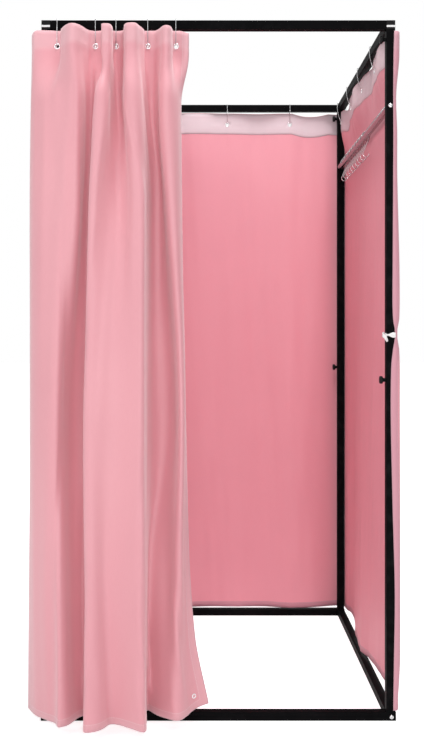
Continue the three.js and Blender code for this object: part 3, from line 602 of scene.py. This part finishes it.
def hung_grid(levels, downs, hook_places, step, tops, bottoms):
    """The rows and columns of a hung sheet, and its points. hook_places are the eyelets'
    places on the top plan. tops and bottoms move the edges up or down by width shares."""
    top = through(levels[0])
    width = lengths(top)[-1]
    eyelets = [nearest_length(top, place) for place in hook_places]
    marks = [HEM_WIDTH, width - HEM_WIDTH]
    for place in eyelets:
        marks += [place - EYELET_HALF, place, place + EYELET_HALF]
    columns = marked(width, step[0], marks)
    row_marks = [EYELET_DOWN - EYELET_HALF, EYELET_DOWN, EYELET_DOWN + EYELET_HALF]
    rows = marked(CLOTH_LENGTH, step[1], [*row_marks, HEADER_DEPTH, CLOTH_LENGTH - HEM_WIDTH])
    shares = columns / width
    plans = np.array([at_shares(level, shares) for level in levels])
    plan = eased(downs, plans, rows)
    fall = (rows / CLOTH_LENGTH)[:, None]
    high = CLOTH_TOP + tops(shares)
    low = CLOTH_BOTTOM + bottoms(shares)
    heights = high + (low - high) * fall
    across, down = np.meshgrid(columns, rows)
    free = calm_near(across, down, eyelets, reach=0.012, soft=0.04)
    heights = heights * free + (CLOTH_TOP - down) * (1 - free)
    points = np.concatenate([plan, heights[..., None]], axis=2)
    return points, across, down, eyelets


def calm_near(across, down, eyelets, reach=0.014, soft=0.05):
    """1 away from the eyelets, and 0 at them."""
    mask = np.ones(across.shape)
    for place in eyelets:
        mask = np.minimum(mask, ramp(np.hypot(across - place, down - EYELET_DOWN), reach, soft))
    return mask


def pulled(across, down, eyelets, seed):
    """Small creases that run out from each eyelet."""
    rng = np.random.default_rng(seed)
    total = np.zeros(across.shape)
    for place in eyelets:
        u, v = across - place, down - EYELET_DOWN
        away = np.hypot(u, v)
        angle = np.arctan2(u, v)
        count = rng.integers(7, 10)
        spread = np.exp(-away / rng.uniform(0.035, 0.055)) * ramp(away, 0.011, 0.03)
        total += spread * np.cos(count * angle + rng.uniform(0, 2 * math.pi))
    return total


def cloth_half(across, down):
    """Half the cloth's thickness, more where the hem is turned over."""
    inset = np.minimum(np.minimum(across, across.max() - across), CLOTH_LENGTH - down)
    return HALF_CLOTH + HEM_GROWTH * (1 - ramp(inset, HEM_WIDTH - 0.003, HEM_WIDTH + 0.001))


def grommet(name, place, direction, hole=0.0049, outside=0.0082):
    """A pressed metal eyelet whose flanges close on both faces of the cloth."""
    grip = 0.0011
    crown = grip + 0.0009
    upper = [
        (outside, grip), (outside - 0.0002, grip + 0.0004), (outside - 0.0012, crown - 0.0001),
        (outside - 0.0026, crown), (hole + 0.0009, crown - 0.0004), (hole, grip),
    ]
    lower = [(radius, -height) for radius, height in upper[::-1]]
    between = [(hole + 0.00035, height) for height in (0.0003 - grip, grip - 0.0003)]
    made = turned(name, [*upper, *lower, *between][::-1], 28, nickel)
    return stand(made, place, direction)


def creased(points, across, down, eyelets, shift):
    """The points moved along their normals, but not near the eyelets."""
    calm = calm_near(across, down, eyelets)
    return points + grid_normals(points) * (shift * calm)[..., None]


def hang(name, points, across, down, eyelets, inside, finish, slits=()):
    """The sheet, its header tape on the cabin's side, its eyelets and its hooks' names. inside
    is 1 where the grid's normals point into the cabin, or -1."""
    piece = f"{name}_drape"
    half = cloth_half(across, down)
    columns, rows = across[0], down[:, 0]
    middle_row = nearest(rows, EYELET_DOWN)
    holes = {}
    for index, place in enumerate(eyelets):
        column = nearest(columns, place)
        wide = SLIT_HALF if index in slits else EYELET_HALF
        holes[(middle_row, column)] = (wide, EYELET_HALF)
    uv = np.stack([across, down], axis=2)
    flat = (float(columns[-1]), CLOTH_LENGTH)
    cloth = cloth_piece(piece, points, half, uv, holes, woven(f"{piece}_cloth", flat, *finish))
    last = nearest(rows, HEADER_DEPTH) + 1
    normals = grid_normals(points)
    out = inside * (half + TAPE_GAP + HALF_TAPE)
    tape_grid = (points + normals * out[..., None])[:last, 1:-1]
    tape_grid[0, :, 2] -= 0.002
    tape_uv = uv[:last, 1:-1] - uv[0, 1]
    tape_size = (flat[0] - 2 * float(columns[1]), HEADER_DEPTH)
    tape_holes = {(row, column - 1): hole for (row, column), hole in holes.items()}
    tape_half = np.full(tape_grid.shape[:2], HALF_TAPE)
    tape_cloth = woven(f"{piece}_tape_cloth", tape_size, *TAPE_FINISH, header=True)
    tape = cloth_piece(f"{piece}_header", tape_grid, tape_half, tape_uv, tape_holes, tape_cloth)
    rings = []
    for row, column in holes:
        place = points[row, column] + normals[row, column] * inside * HALF_TAPE
        rings.append(grommet(f"{piece}_eyelet_{len(rings) + 1}", place, normals[row, column]))
    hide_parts(f"{name}_curtain")
    return cloth, tape, rings, [f"{name}_curtain_hook_{index + 1}" for index in range(len(eyelets))]


def hang_wall(name, points, across, down, eyelets, shift, inside):
    """A side or back curtain, which stays with the frame."""
    points = creased(points, across, down, eyelets, shift)
    cloth, tape, rings, hooks = hang(name, points, across, down, eyelets, inside, WALL_FINISH)
    for made in (cloth, tape, *rings):
        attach(made, "frame")


def pulled_places(down, pull):
    """A plan between the middle one and the hem's, with the free edge pulled back."""
    shares = np.linspace(0, 1, 121)
    upper, lower = (at_shares(places, shares) for places in (in_metres(FRONT_MIDDLE, -1), hem_places()))
    plan = upper + (lower - upper) * (down - MIDDLE_DOWN) / (CLOTH_LENGTH - MIDDLE_DOWN)
    plan[:, 0] -= pull * ramp(shares, 0.86, 1)
    return plan


def hang_front():
    levels = [front_top_places()] * 2
    levels += [in_metres(plan, -1) for plan in (FRONT_HIGH, FRONT_UPPER, FRONT_MIDDLE)]
    levels += [*(pulled_places(*row) for row in FRONT_PULLS), hem_places()]
    hook_places = [(x, -FRONT_OFFSET) for x in FRONT_HOOKS]

    def sag(shares):
        (left, left_width), (right, right_width) = CORNER_DROPS
        return left * (ramp(shares, 0, left_width) - 1) - right * ramp(shares, 1 - right_width, 1)

    def lift(shares):
        return HEM_LIFT * np.maximum(0, shares - HEM_LIFT_START) / (1 - HEM_LIFT_START)

    points, across, down, eyelets = hung_grid(levels, FRONT_DOWNS, hook_places, FRONT_STEP, sag, lift)
    width = across.max()
    edges = ramp(np.minimum(across, width - across), 0.02, 0.12)
    loose = ramp(down, 0.1, 0.4)
    shift = 0.0016 * ripple(across, down, wide=0.09, tall=1.6, seed=11) * edges * loose
    below_header = ramp(down, 0.06, 0.2) * (1 - ramp(down, 0.3, 0.7))
    shift += 0.0012 * ripple(across, down, wide=0.05, tall=0.35, seed=12) * edges * below_header
    shift += 0.0012 * ripple(across, down, wide=0.13, tall=0.5, seed=13) * edges * ramp(down, 1.2, 1.7)
    shift += 0.0016 * pulled(across, down, eyelets, seed=14)
    points = creased(points, across, down, eyelets, shift)
    cloth, tape, rings, hooks = hang("front", points, across, down, eyelets, 1, FRONT_FINISH, slits=(1, 2, 3))
    start, end = (FRONT_HOOKS[0], 0, 0), (FRONT_HOOKS[-1], 0, 0)
    for piece in (cloth, tape):
        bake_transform(piece)
        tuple(start)
        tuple(end)
    riders = ("frame", "front_hook_2", "front_hook_3", "front_hook_4", "front_curtain_lead")
    for ring, body in zip(rings, riders):
        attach(ring, body)
    row = nearest(down[:, 0], CLOTH_LENGTH - CORNER_EYELET_INSET)
    column = nearest(across[0], width - CORNER_EYELET_INSET)
    place, direction = points[row, column], grid_normals(points)[row, column]
    corner = grommet("front_drape_corner_eyelet", place, direction, hole=0.0038, outside=0.007)
    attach(corner, "front_curtain_lead")


WALL_SHARES = ((0.15, 0.2), (0.3, 0.65), (0.5, 1), (0.7, 0.65), (0.85, 0.2))
SIDE_WAVES = (1, -0.8, 0.9)
SIDE_EASE_SHARES = ((0.1, 0.7), (0.22, 0.1), (0.4, -0.4), (0.6, -0.5), (0.8, -0.2))
BACK_WAVES = (0.9, -0.7, 0.8)
BACK_TRAIL_SHARES = ((0.3, 0.3), (0.6, 0.4), (0.85, 0.55))
WALL_FLAT_HALF = 0.009
SIDE_END = tuple((BACK_Y + along, WALL_OUT) for along in (-0.016, -0.00625, 0.00625, 0.0125))
RAIL_PASS_SHARES = (0.08, 0.2, 0.35, 0.5, 0.65, 0.8, 0.92)
# The side curtain's hem, as (along, out, lift) in millimetres.
SIDE_HEM = (
    (60, 18, 8), (135, 22, 15), (187, 18.5, 14), (272, 16, 11), (338, 11.5, 8), (400, 9.5, 4), (448, 1, 1),
    (485, -4, 0), (571, 0, 5), (645, 5, 10), (682, 13, 15), (743, 20, 18), (820, 21, 19), (907, 17, 8),
)
BACK_HEM_LIFT = 0.002
BACK_HEM_SHARES = (
    (-0.86, 0.2), (-0.6, 0.9), (-0.35, 0.1), (-0.1, 0.8), (0.15, -0.2), (0.4, 0.6), (0.62, -0.5), (0.82, 0.4),
)
# How far round the upright's front face the side curtain's margin reaches, and how far it bulges out
# beside the upright, as (down, x, bulge).
MARGIN_REACH = (
    (0, 0.4965, 0.0052), (0.0635, 0.495, 0.005), (0.187, 0.494, -0.0045), (0.295, 0.4944, -0.0014),
    (0.37, 0.494, -0.0017), (0.45, 0.4936, -0.0004), (0.55, 0.493, 0.0026), (0.66, 0.4924, 0.005),
    (0.7615, 0.4918, 0.0057), (0.812, 0.4935, 0.0048), (0.8463, 0.4985, -0.001), (0.8632, 0.4985, -0.001),
    (0.897, 0.4935, 0.0045), (0.951, 0.4881, 0.006), (1.044, 0.4867, 0.006), (1.3265, 0.4918, 0.007),
    (1.609, 0.4985, 0.0074), (1.778, 0.496, 0.007), (1.835, 0.4952, 0.0045), (1.885, 0.4945, 0.0012),
    (CLOTH_LENGTH, 0.494, 0.001),
)
SIDE_SAG = 0.017
SIDE_SAG_Y = 0.845
SIDE_SAG_HALF = 0.05


def along_wall(hooks, waves):
    folds = [[(share, WALL_WAVE * wave * out) for share, out in WALL_SHARES] for wave in waves]
    return hooked(hooks, WALL_FLAT_HALF, 0, folds)


def side_wrap(reach, bulge):
    front = -HALF_TUBE - 0.0035
    outer = WALL_OUT + WALL_EASE + bulge
    return [
        (front, reach - SIDE_X), (front - 0.0006, HALF_TUBE - 0.001),
        (front + 0.0012, WALL_OUT - 0.0008 + bulge), (-HALF_TUBE + 0.003, outer - 0.0008),
        (0, outer + 0.0012), (HALF_TUBE - 0.003, outer), (HALF_TUBE + 0.0035, WALL_OUT + bulge),
    ]


def side_plans(side):
    """The side curtain's levels down from the top, as ways down and plans."""
    ease_length = SIDE_HOOKS[0] - HALF_TUBE
    ease = [(HALF_TUBE + ease_length * a, WALL_OUT * out) for a, out in SIDE_EASE_SHARES]
    top = [*ease, *along_wall(SIDE_HOOKS, SIDE_WAVES)]
    past_rail = [(BACK_Y * a, RAIL_PASS_OUT + 0.0005) for a in RAIL_PASS_SHARES] if side > 0 else top
    hem = in_metres(row[:2] for row in SIDE_HEM)
    rail_start = CLOTH_TOP - CLOTHES_RAIL_Z - 2 * CLOTHES_RAIL_RADIUS
    rail_end = CLOTH_TOP - CLOTHES_RAIL_Z + S_HOOK_FALL
    fixed = {0: top, EYELET_DOWN + 0.02: top, rail_start: past_rail, rail_end: past_rail, CLOTH_LENGTH: hem}
    downs = sorted({*fixed, *(row[0] for row in MARGIN_REACH[4:])})
    reach_downs, reaches, bulges = zip(*MARGIN_REACH)
    shares = np.linspace(0, 1, 60)
    plans = []
    for down in downs:
        if down in fixed:
            middle = fixed[down]
        else:
            t = (down - rail_end) / (CLOTH_LENGTH - rail_end)
            upper, lower = at_shares(past_rail, shares), at_shares(hem, shares)
            middle = (upper + (lower - upper) * t)[::6]
        reach, bulge = (np.interp(down, reach_downs, values) for values in (reaches, bulges))
        middle = [*side_wrap(reach, bulge), *middle, *SIDE_END]
        places = [(side * (SIDE_X + out), along) for along, out in middle]
        plans.append(places if side > 0 else places[::-1])
    return downs, plans


def hang_side(name, side):
    downs, plans = side_plans(side)
    hook_places = [(side * SIDE_X, y) for y in SIDE_HOOKS]

    def sag(shares):
        y = at_shares(plans[0], shares)[:, 1]
        return -SIDE_SAG * np.exp(-(((y - SIDE_SAG_Y) / SIDE_SAG_HALF) ** 2))

    def lift(shares):
        y = at_shares(plans[-1], shares)[:, 1]
        curve = through([(0, 0), *in_metres(row[::2] for row in SIDE_HEM), (BACK_Y, BACK_HEM_LIFT)])
        return np.interp(y, curve[:, 0], curve[:, 1])

    points, across, down, eyelets = hung_grid(plans, downs, hook_places, WALL_STEP, sag, lift)
    along = points[..., 1]
    free = ramp(along, 0.03, 0.12) * (1 - ramp(along, 0.86, 0.94))
    beside_rail = 1 - 0.85 * ramp(down, 0.12, 0.17) * (1 - ramp(down, 0.32, 0.42))
    loose = free * beside_rail
    shift = 0.0022 * ripple(across, down, wide=0.3, tall=1.2, seed=21 + side) * loose * ramp(down, 0.05, 0.2)
    shift += 0.0009 * ripple(across, down, wide=0.07, tall=0.5, seed=31 + side) * loose
    shift += 0.0014 * pulled(across, down, eyelets, seed=41 + side)
    hang_wall(name, points, across, down, eyelets, shift, inside=1)


def back_levels():
    ease = (BACK_HOOKS[0] - WALL_FLAT_HALF - KNOB_CLEAR) / 2
    last = BACK_HOOKS[-1]
    ends = [(-OUTER_X, BACK_OUT), (-UPRIGHT_FACE, BACK_OUT), (-KNOB_CLEAR, BACK_OUT * 0.85)]
    far_ends = [(-x, out) for x, out in reversed(ends)]
    trail = [(last + (KNOB_CLEAR - last) * a, BACK_OUT * out) for a, out in BACK_TRAIL_SHARES]
    top = [*ends, (ease, BACK_OUT * 0.35), *along_wall(BACK_HOOKS, BACK_WAVES), *trail, *far_ends]
    hem = [*ends, *((SIDE_X * a, WALL_WAVE * out) for a, out in BACK_HEM_SHARES), *far_ends]
    return [[(x, BACK_Y + out) for x, out in places] for places in (top, top, hem)]


TOP_SAG = 0.012
TOP_SAG_SHARE = 0.87
TOP_SAG_HALF = 0.07


def hang_back():
    levels = back_levels()

    def sag(shares):
        return -TOP_SAG * np.maximum(0, 1 - ((shares - TOP_SAG_SHARE) / TOP_SAG_HALF) ** 2)

    def hem_wave(shares):
        wave = ripple(shares, 0 * shares, wide=0.35, tall=1, seed=51)
        return 0.004 * wave * ramp(np.minimum(shares, 1 - shares), 0, 0.1)

    hook_places = [(x, BACK_Y) for x in BACK_HOOKS]
    downs = (0, EYELET_DOWN + 0.02, CLOTH_LENGTH)
    points, across, down, eyelets = hung_grid(levels, downs, hook_places, WALL_STEP, sag, hem_wave)
    side = points[..., 0]
    free = ramp(side, -0.46, -0.36) * (1 - ramp(side, 0.36, 0.46))
    shift = 0.0028 * ripple(across, down, wide=0.28, tall=1.5, seed=61) * free * ramp(down, 0.05, 0.25)
    shift += 0.0009 * ripple(across, down, wide=0.07, tall=0.6, seed=62) * free
    shift += 0.0014 * pulled(across, down, eyelets, seed=63)
    hang_wall("back", points, across, down, eyelets, shift, inside=-1)


# Frame and hardware


def dress_cad():
    for name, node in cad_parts.items():
        tube = "rail_" in name and "clothes" not in name or "upright" in name
        if not tube and "plug" not in name and "hook" not in name:
            continue
        node.modifiers.new("weld", "WELD").merge_threshold = WELD_REACH
        if tube:
            soften(node, TUBE_CORNER, 3)
            finish = coat
        elif "plug" in name:
            soften(node, EDGE_CORNER)
            finish = black_plastic
        else:
            smooth = node.modifiers.new("round", "SUBSURF")
            smooth.levels = 1
            smooth.render_levels = 2
            finish = wire_chrome
        for slot in node.material_slots:
            slot.material = finish


def knobs():
    radius = 0.011
    gap = 0.0003
    head = gap + 0.009
    face = head + 0.008
    outline = (
        (0, -0.01), (0.0026, -0.01), (0.003, -0.0096), (0.003, gap), (0.0052, gap), (0.00525, gap + 0.0012),
        (0.0054, gap + 0.00495), (0.007, head - 0.0008), (0.0096, head), (0.0106, head + 0.0005),
        (radius, head + 0.0016), (radius, face - 0.0022), (0.0106, face - 0.0008), (0.0095, face),
        (0.0072, face - 0.0002), (0.0066, face - 0.0009), (0.003, face - 0.001), (0, face - 0.0007),
    )
    grips = 12

    def flute(index, angle):
        if 9 <= index <= 12:
            return -0.00055 * (0.5 + 0.5 * math.cos(grips * angle)) ** 1.5
        return 0

    for end, y in ENDS:
        for side_name, side in SIDES:
            for level, z in KNOB_HEIGHTS:
                corner = f"{level}_{end}_{side_name}"
                made = turned(f"grip_knob_{corner}", outline, 96, black_plastic, flute=flute)
                stand(made, (side * UPRIGHT_FACE, y, z), (-side, 0, 0))
                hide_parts(f"clamp_knob_{corner}")
                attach(made, f"knob_{corner}")


def clothes_rail():
    start, end = HALF_TUBE, BACK_Y - HALF_TUBE
    radius, bore, inside = CLOTHES_RAIL_RADIUS, 0.00435, 0.0098
    insert = 0.02
    outline = (
        (bore, start), (radius - 0.0004, start), (radius, start + 0.0004), (radius, end - 0.0004),
        (radius - 0.0004, end), (bore, end), (bore, end - insert), (inside, end - insert),
        (inside, start + insert), (bore, start + insert),
    )
    made = turned("hanging_rail", outline, 64, chrome)
    soften(made, RAIL_CORNER)
    stand(made, (CLOTHES_RAIL_X, 0, CLOTHES_RAIL_Z), (0, 1, 0))
    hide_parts("clothes_rail")
    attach(made, "frame")


def bolt(name, place, direction, shank, node=None, scale=1.0):
    """A button-head screw with a socket. Its head is along the direction, from the place."""
    rim, crown, socket, thread = (value * scale for value in (0.0068, 0.0044, 0.0025, 0.004))
    outline = (
        (0, -shank), (thread * 0.95, -shank), (thread, 0.0003 - shank), (thread, 0), (rim - 0.0002, 0),
        (rim, 0.0003), (rim, crown * 0.3), (rim * 0.92, crown * 0.55), (rim * 0.78, crown * 0.82),
        (rim * 0.58, crown * 0.97), (rim * 0.46, crown), (socket, crown - 0.0002), (socket, crown * 0.45),
        (0, crown * 0.36),
    )

    def hexagon(index, angle):
        if index in (11, 12):
            return socket * (math.cos(math.pi / 6) / math.cos(angle % (math.pi / 3) - math.pi / 6) - 1)
        return 0

    made = turned(name, outline, 48, wire_chrome, flute=hexagon)
    stand(made, place, direction)
    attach(made, "frame")
    if node:
        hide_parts(node)


CORNER_SCREW_X = 0.4895
CORNER_SCREW_Z = 0.0112


def bolts():
    gap = 0.0003
    front, back = -HALF_TUBE - gap, BACK_Y + HALF_TUBE + gap
    shank = 0.037 + gap
    for end, y, way in (("front", front, -1), ("back", back, 1)):
        place = (CLOTHES_RAIL_X, y, CLOTHES_RAIL_Z)
        bolt(f"rail_screw_{end}", place, (0, way, 0), shank, f"clothes_rail_bolt_{end}")
    for end, y, way in (("front", -HALF_TUBE, -1), ("back", BACK_Y + HALF_TUBE, 1)):
        for side_name, side in SIDES:
            place = (side * CORNER_SCREW_X, y, CORNER_SCREW_Z)
            bolt(f"corner_screw_{end}_{side_name}", place, (0, way, 0), shank=0.0035, scale=0.92)


def rounded_box(name, size, place, material, corner):
    x, y, z = (value / 2 for value in size)
    points = [(i * x, j * y, k * z) for k in (-1, 1) for j in (-1, 1) for i in (-1, 1)]
    faces = [(0, 2, 3, 1), (4, 5, 7, 6), (0, 1, 5, 4), (2, 6, 7, 3), (0, 4, 6, 2), (1, 3, 7, 5)]
    made = new_mesh(name, points, faces, material)
    made.location = place
    return soften(made, corner, 3)


STRIP_SIZE = (0.0238, 0.0016, 0.0056)
STRIP_Z = 1.9632
CAP_WIDE = 0.0246
CAP_THICK = 0.0022
CAP_CORNER = 0.0008


def end_cap(name, size, place):
    cap = rounded_box(name, size, place, black_plastic, CAP_CORNER)
    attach(cap, "frame")


def trim():
    for side_name, side in SIDES:
        # Painted highlight: a pale strip across each front top plug stands in for the bright line of light
        # seen there.
        place = (side * SIDE_X, -HALF_TUBE - 0.0003, STRIP_Z)
        strip = rounded_box(f"plug_highlight_strip_{side_name}", STRIP_SIZE, place, painted_highlight_plastic, 0.0006)
        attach(strip, "frame")
        place = (side * SIDE_X, BACK_Y + HALF_TUBE + CAP_THICK / 2, TOP_RAIL_Z)
        end_cap(f"rear_plug_{side_name}", (CAP_WIDE, CAP_THICK, CAP_WIDE), place)
        for end, y in ENDS:
            place = (side * (OUTER_X + CAP_THICK / 2), y, HALF_TUBE)
            end_cap(f"foot_cap_{end}_{side_name}", (CAP_THICK, CAP_WIDE, CAP_WIDE), place)


# The tie round the front right upright, as (x, y, half height) in millimetres.
TIE_Z = 1.0905
TIE_RUN = (
    (500, -18.8, 5.2), (498.5, -19.8, 6.8), (495.5, -19.6, 7.6), (491.5, -18.6, 7.4), (487, -17.2, 5.6),
    (483, -16, 3.6), (479, -15.6, 2.6), (474.5, -15.8, 2.6), (472.2, -15, 3), (471.2, -12, 3.4),
    (471, -2, 3.6), (471, 10, 3.6), (472.2, 14.8, 3.6), (476, 15.8, 3.8), (485, 16, 4.2), (495, 16.2, 4.4),
    (501.2, 15.8, 4),
)
TIE_HALF = 0.0007
# The knot's loop and the loose end, from the knot's place, as (x, y, z, half width) in millimetres.
KNOT_PLACE = (0.4688, -0.0175, TIE_Z - 0.001)
KNOT_LOOP = (
    (-0.5, 4, 4, 3), (-3.5, 0, 6, 3.6), (-5.5, -4.5, 2, 4), (-3, -6.5, -3, 4.2), (2.5, -5.5, -4, 4),
    (4.5, -2, 0.5, 3.4), (1.5, 1.5, 4, 2.8),
)
TAIL = ((-2, -3, 1, 3), (1, -6.5, -6, 4), (4.5, -5.8, -12, 4.4), (7, -4.5, -17.5, 3))
RIBBON_SECTION = (
    (-1, -0.35), (-0.92, -1), (0, -0.8), (0.92, -1), (1, -0.35), (1, 0.35), (0.92, 1), (0, 1.2), (-0.92, 1),
    (-1, 0.35),
)


def ribbon(name, run, half, material):
    """A flat band along (x, y, z, half height) places, closed all round."""
    run = np.array(run, float)
    shares = np.linspace(0, 1, 4 * len(run))
    points = through(run)
    reach = lengths(points[:, :3])
    fine = np.stack([np.interp(shares * reach[-1], reach, points[:, axis]) for axis in range(4)], axis=1)
    along = unit(np.gradient(fine[:, :3], axis=0))
    up = unit((0, 0, 1) - along * along[:, 2:3])
    out = np.cross(along, up)
    vertices, faces = [], []
    for place, rise, side in zip(fine, up, out):
        for high, deep in RIBBON_SECTION:
            vertices.append(place[:3] + rise * high * place[3] + side * deep * half)
    count = len(RIBBON_SECTION)
    for ring in range(0, (len(fine) - 1) * count, count):
        for corner in range(count):
            ahead = (corner + 1) % count
            faces.append((ring + corner, ring + ahead, ring + count + ahead, ring + count + corner))
    faces.append(tuple(range(count - 1, -1, -1)))
    faces.append(tuple((len(fine) - 1) * count + corner for corner in range(count)))
    return new_mesh(name, vertices, faces, material)


def tie():
    nodes = Nodes("tie_cloth")
    cloud = nodes.noise(90, 3)
    grain = nodes.noise(1400, 2, stretch=(1, 1, 3))
    colour = nodes.steps(cloud, [(0.3, (0.74, 0.72, 0.72)), (0.7, (0.86, 0.84, 0.84))])
    nodes.set(Base_Color=colour, Roughness=0.6, Normal=nodes.bump(grain, 0.0002, 0.4), Sheen_Weight=0.2)
    white = nodes.material
    run = [(x / 1000, y / 1000, TIE_Z, half / 1000) for x, y, half in TIE_RUN]
    band = ribbon("tie_band", run, TIE_HALF, white)
    knot = ribbon("tie_knot", np.array(KNOT_LOOP) / 1000 + (*KNOT_PLACE, 0), 0.0012, white)
    tail = ribbon("tie_tail", np.array(TAIL) / 1000 + (*KNOT_PLACE, 0), TIE_HALF, white)
    for piece in (band, knot, tail):
        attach(piece, "frame")


# Stage

AMBIENT = 0.46
FLOOR_LIFT = 0.64
LAMPS = (
    ("key", (-3.0, -2.8, 2.3), (-0.1, 0.1, 1.05), (1.4, 2.4), 38),
    ("fill", (0.35, -4.3, 1.7), (0.15, 0.9, 0.85), (1.5, 1.8), 60),
    ("back", (1.4, 5.2, 2.6), (0.1, 0.6, 1.0), (2.0, 2.0), 60),
    ("top", (0.25, -0.1, 4.6), (0.1, 0.75, 0.5), (1.2, 1.2), 98),
)
FLOOR_REACH = 30
FLOOR_DROP = 0.0005


def stage():
    world = bpy.data.worlds.new("studio")
    bpy.context.scene.world = world
    world.use_nodes = True
    tree = world.node_tree
    background = tree.nodes["Background"]
    seen = tree.nodes.new("ShaderNodeBackground")
    seen.inputs["Color"].default_value = (1, 1, 1, 1)
    seen.inputs["Strength"].default_value = 1
    background.inputs["Color"].default_value = (1, 0.99, 0.985, 1)
    background.inputs["Strength"].default_value = AMBIENT
    path = tree.nodes.new("ShaderNodeLightPath")
    clear = path.outputs["Is Camera Ray"]
    for name in ("Is Glossy Ray", "Is Transmission Ray"):
        either = tree.nodes.new("ShaderNodeMath")
        either.operation = "MAXIMUM"
        tree.links.new(clear, either.inputs[0])
        tree.links.new(path.outputs[name], either.inputs[1])
        clear = either.outputs[0]
    mix = tree.nodes.new("ShaderNodeMixShader")
    tree.links.new(clear, mix.inputs[0])
    tree.links.new(background.outputs[0], mix.inputs[1])
    tree.links.new(seen.outputs[0], mix.inputs[2])
    tree.links.new(mix.outputs[0], tree.nodes["World Output"].inputs["Surface"])

    nodes = Nodes("studio_floor")
    grain = nodes.noise(3, 3)
    colour = nodes.steps(grain, [(0.3, (0.86, 0.86, 0.86)), (0.7, (0.88, 0.88, 0.88))])
    nodes.set(Base_Color=colour, Roughness=0.9, Specular_IOR_Level=0.1)
    path = nodes.new("ShaderNodeLightPath")
    lift = nodes.math("MAXIMUM", path.outputs["Is Camera Ray"], path.outputs["Is Glossy Ray"])
    strength = nodes.math("MULTIPLY", lift, FLOOR_LIFT)
    glow = nodes.fill(nodes.new("ShaderNodeEmission"), Color=(1, 1, 1, 1), Strength=strength)
    total = nodes.new("ShaderNodeAddShader")
    nodes.link(nodes.shader.outputs[0], total.inputs[0])
    nodes.link(glow, total.inputs[1])
    nodes.link(total.outputs[0], nodes.tree.nodes["Material Output"].inputs["Surface"])
    corners = [(x * FLOOR_REACH, y * FLOOR_REACH, 0) for x, y in ((-1, -1), (1, -1), (1, 1), (-1, 1))]
    floor = new_mesh("floor", corners, [(0, 1, 2, 3)], nodes.material, smooth=False)
    floor.location.z = -FLOOR_DROP

    for name, place, aim, size, power in LAMPS:
        data = bpy.data.lights.new(name, "AREA")
        data.shape = "RECTANGLE"
        data.size, data.size_y = size
        data.energy = power
        lamp = bpy.data.objects.new(name, data)
        lamp.location = place
        lamp.rotation_euler = (Vector(aim) - Vector(place)).to_track_quat("-Z", "Y").to_euler()
        bpy.context.collection.objects.link(lamp)


def camera():
    data = bpy.data.cameras.new("camera")
    data.sensor_width = SENSOR
    data.lens = FOCAL_PIXELS / PHOTO_HEIGHT * SENSOR
    data.shift_x, data.shift_y = SHIFT
    made = bpy.data.objects.new("camera", data)
    made.location = CAMERA_PLACE
    made.rotation_euler = (math.pi / 2, 0, 0)
    bpy.context.collection.objects.link(made)
    bpy.context.scene.camera = made


camera()
stage()
bpy.context.scene.view_settings.view_transform = "Standard"
hang_front()
hang_side("right", 1)
hang_side("left", -1)
hang_back()
dress_cad()
knobs()
clothes_rail()
bolts()
trim()
tie()
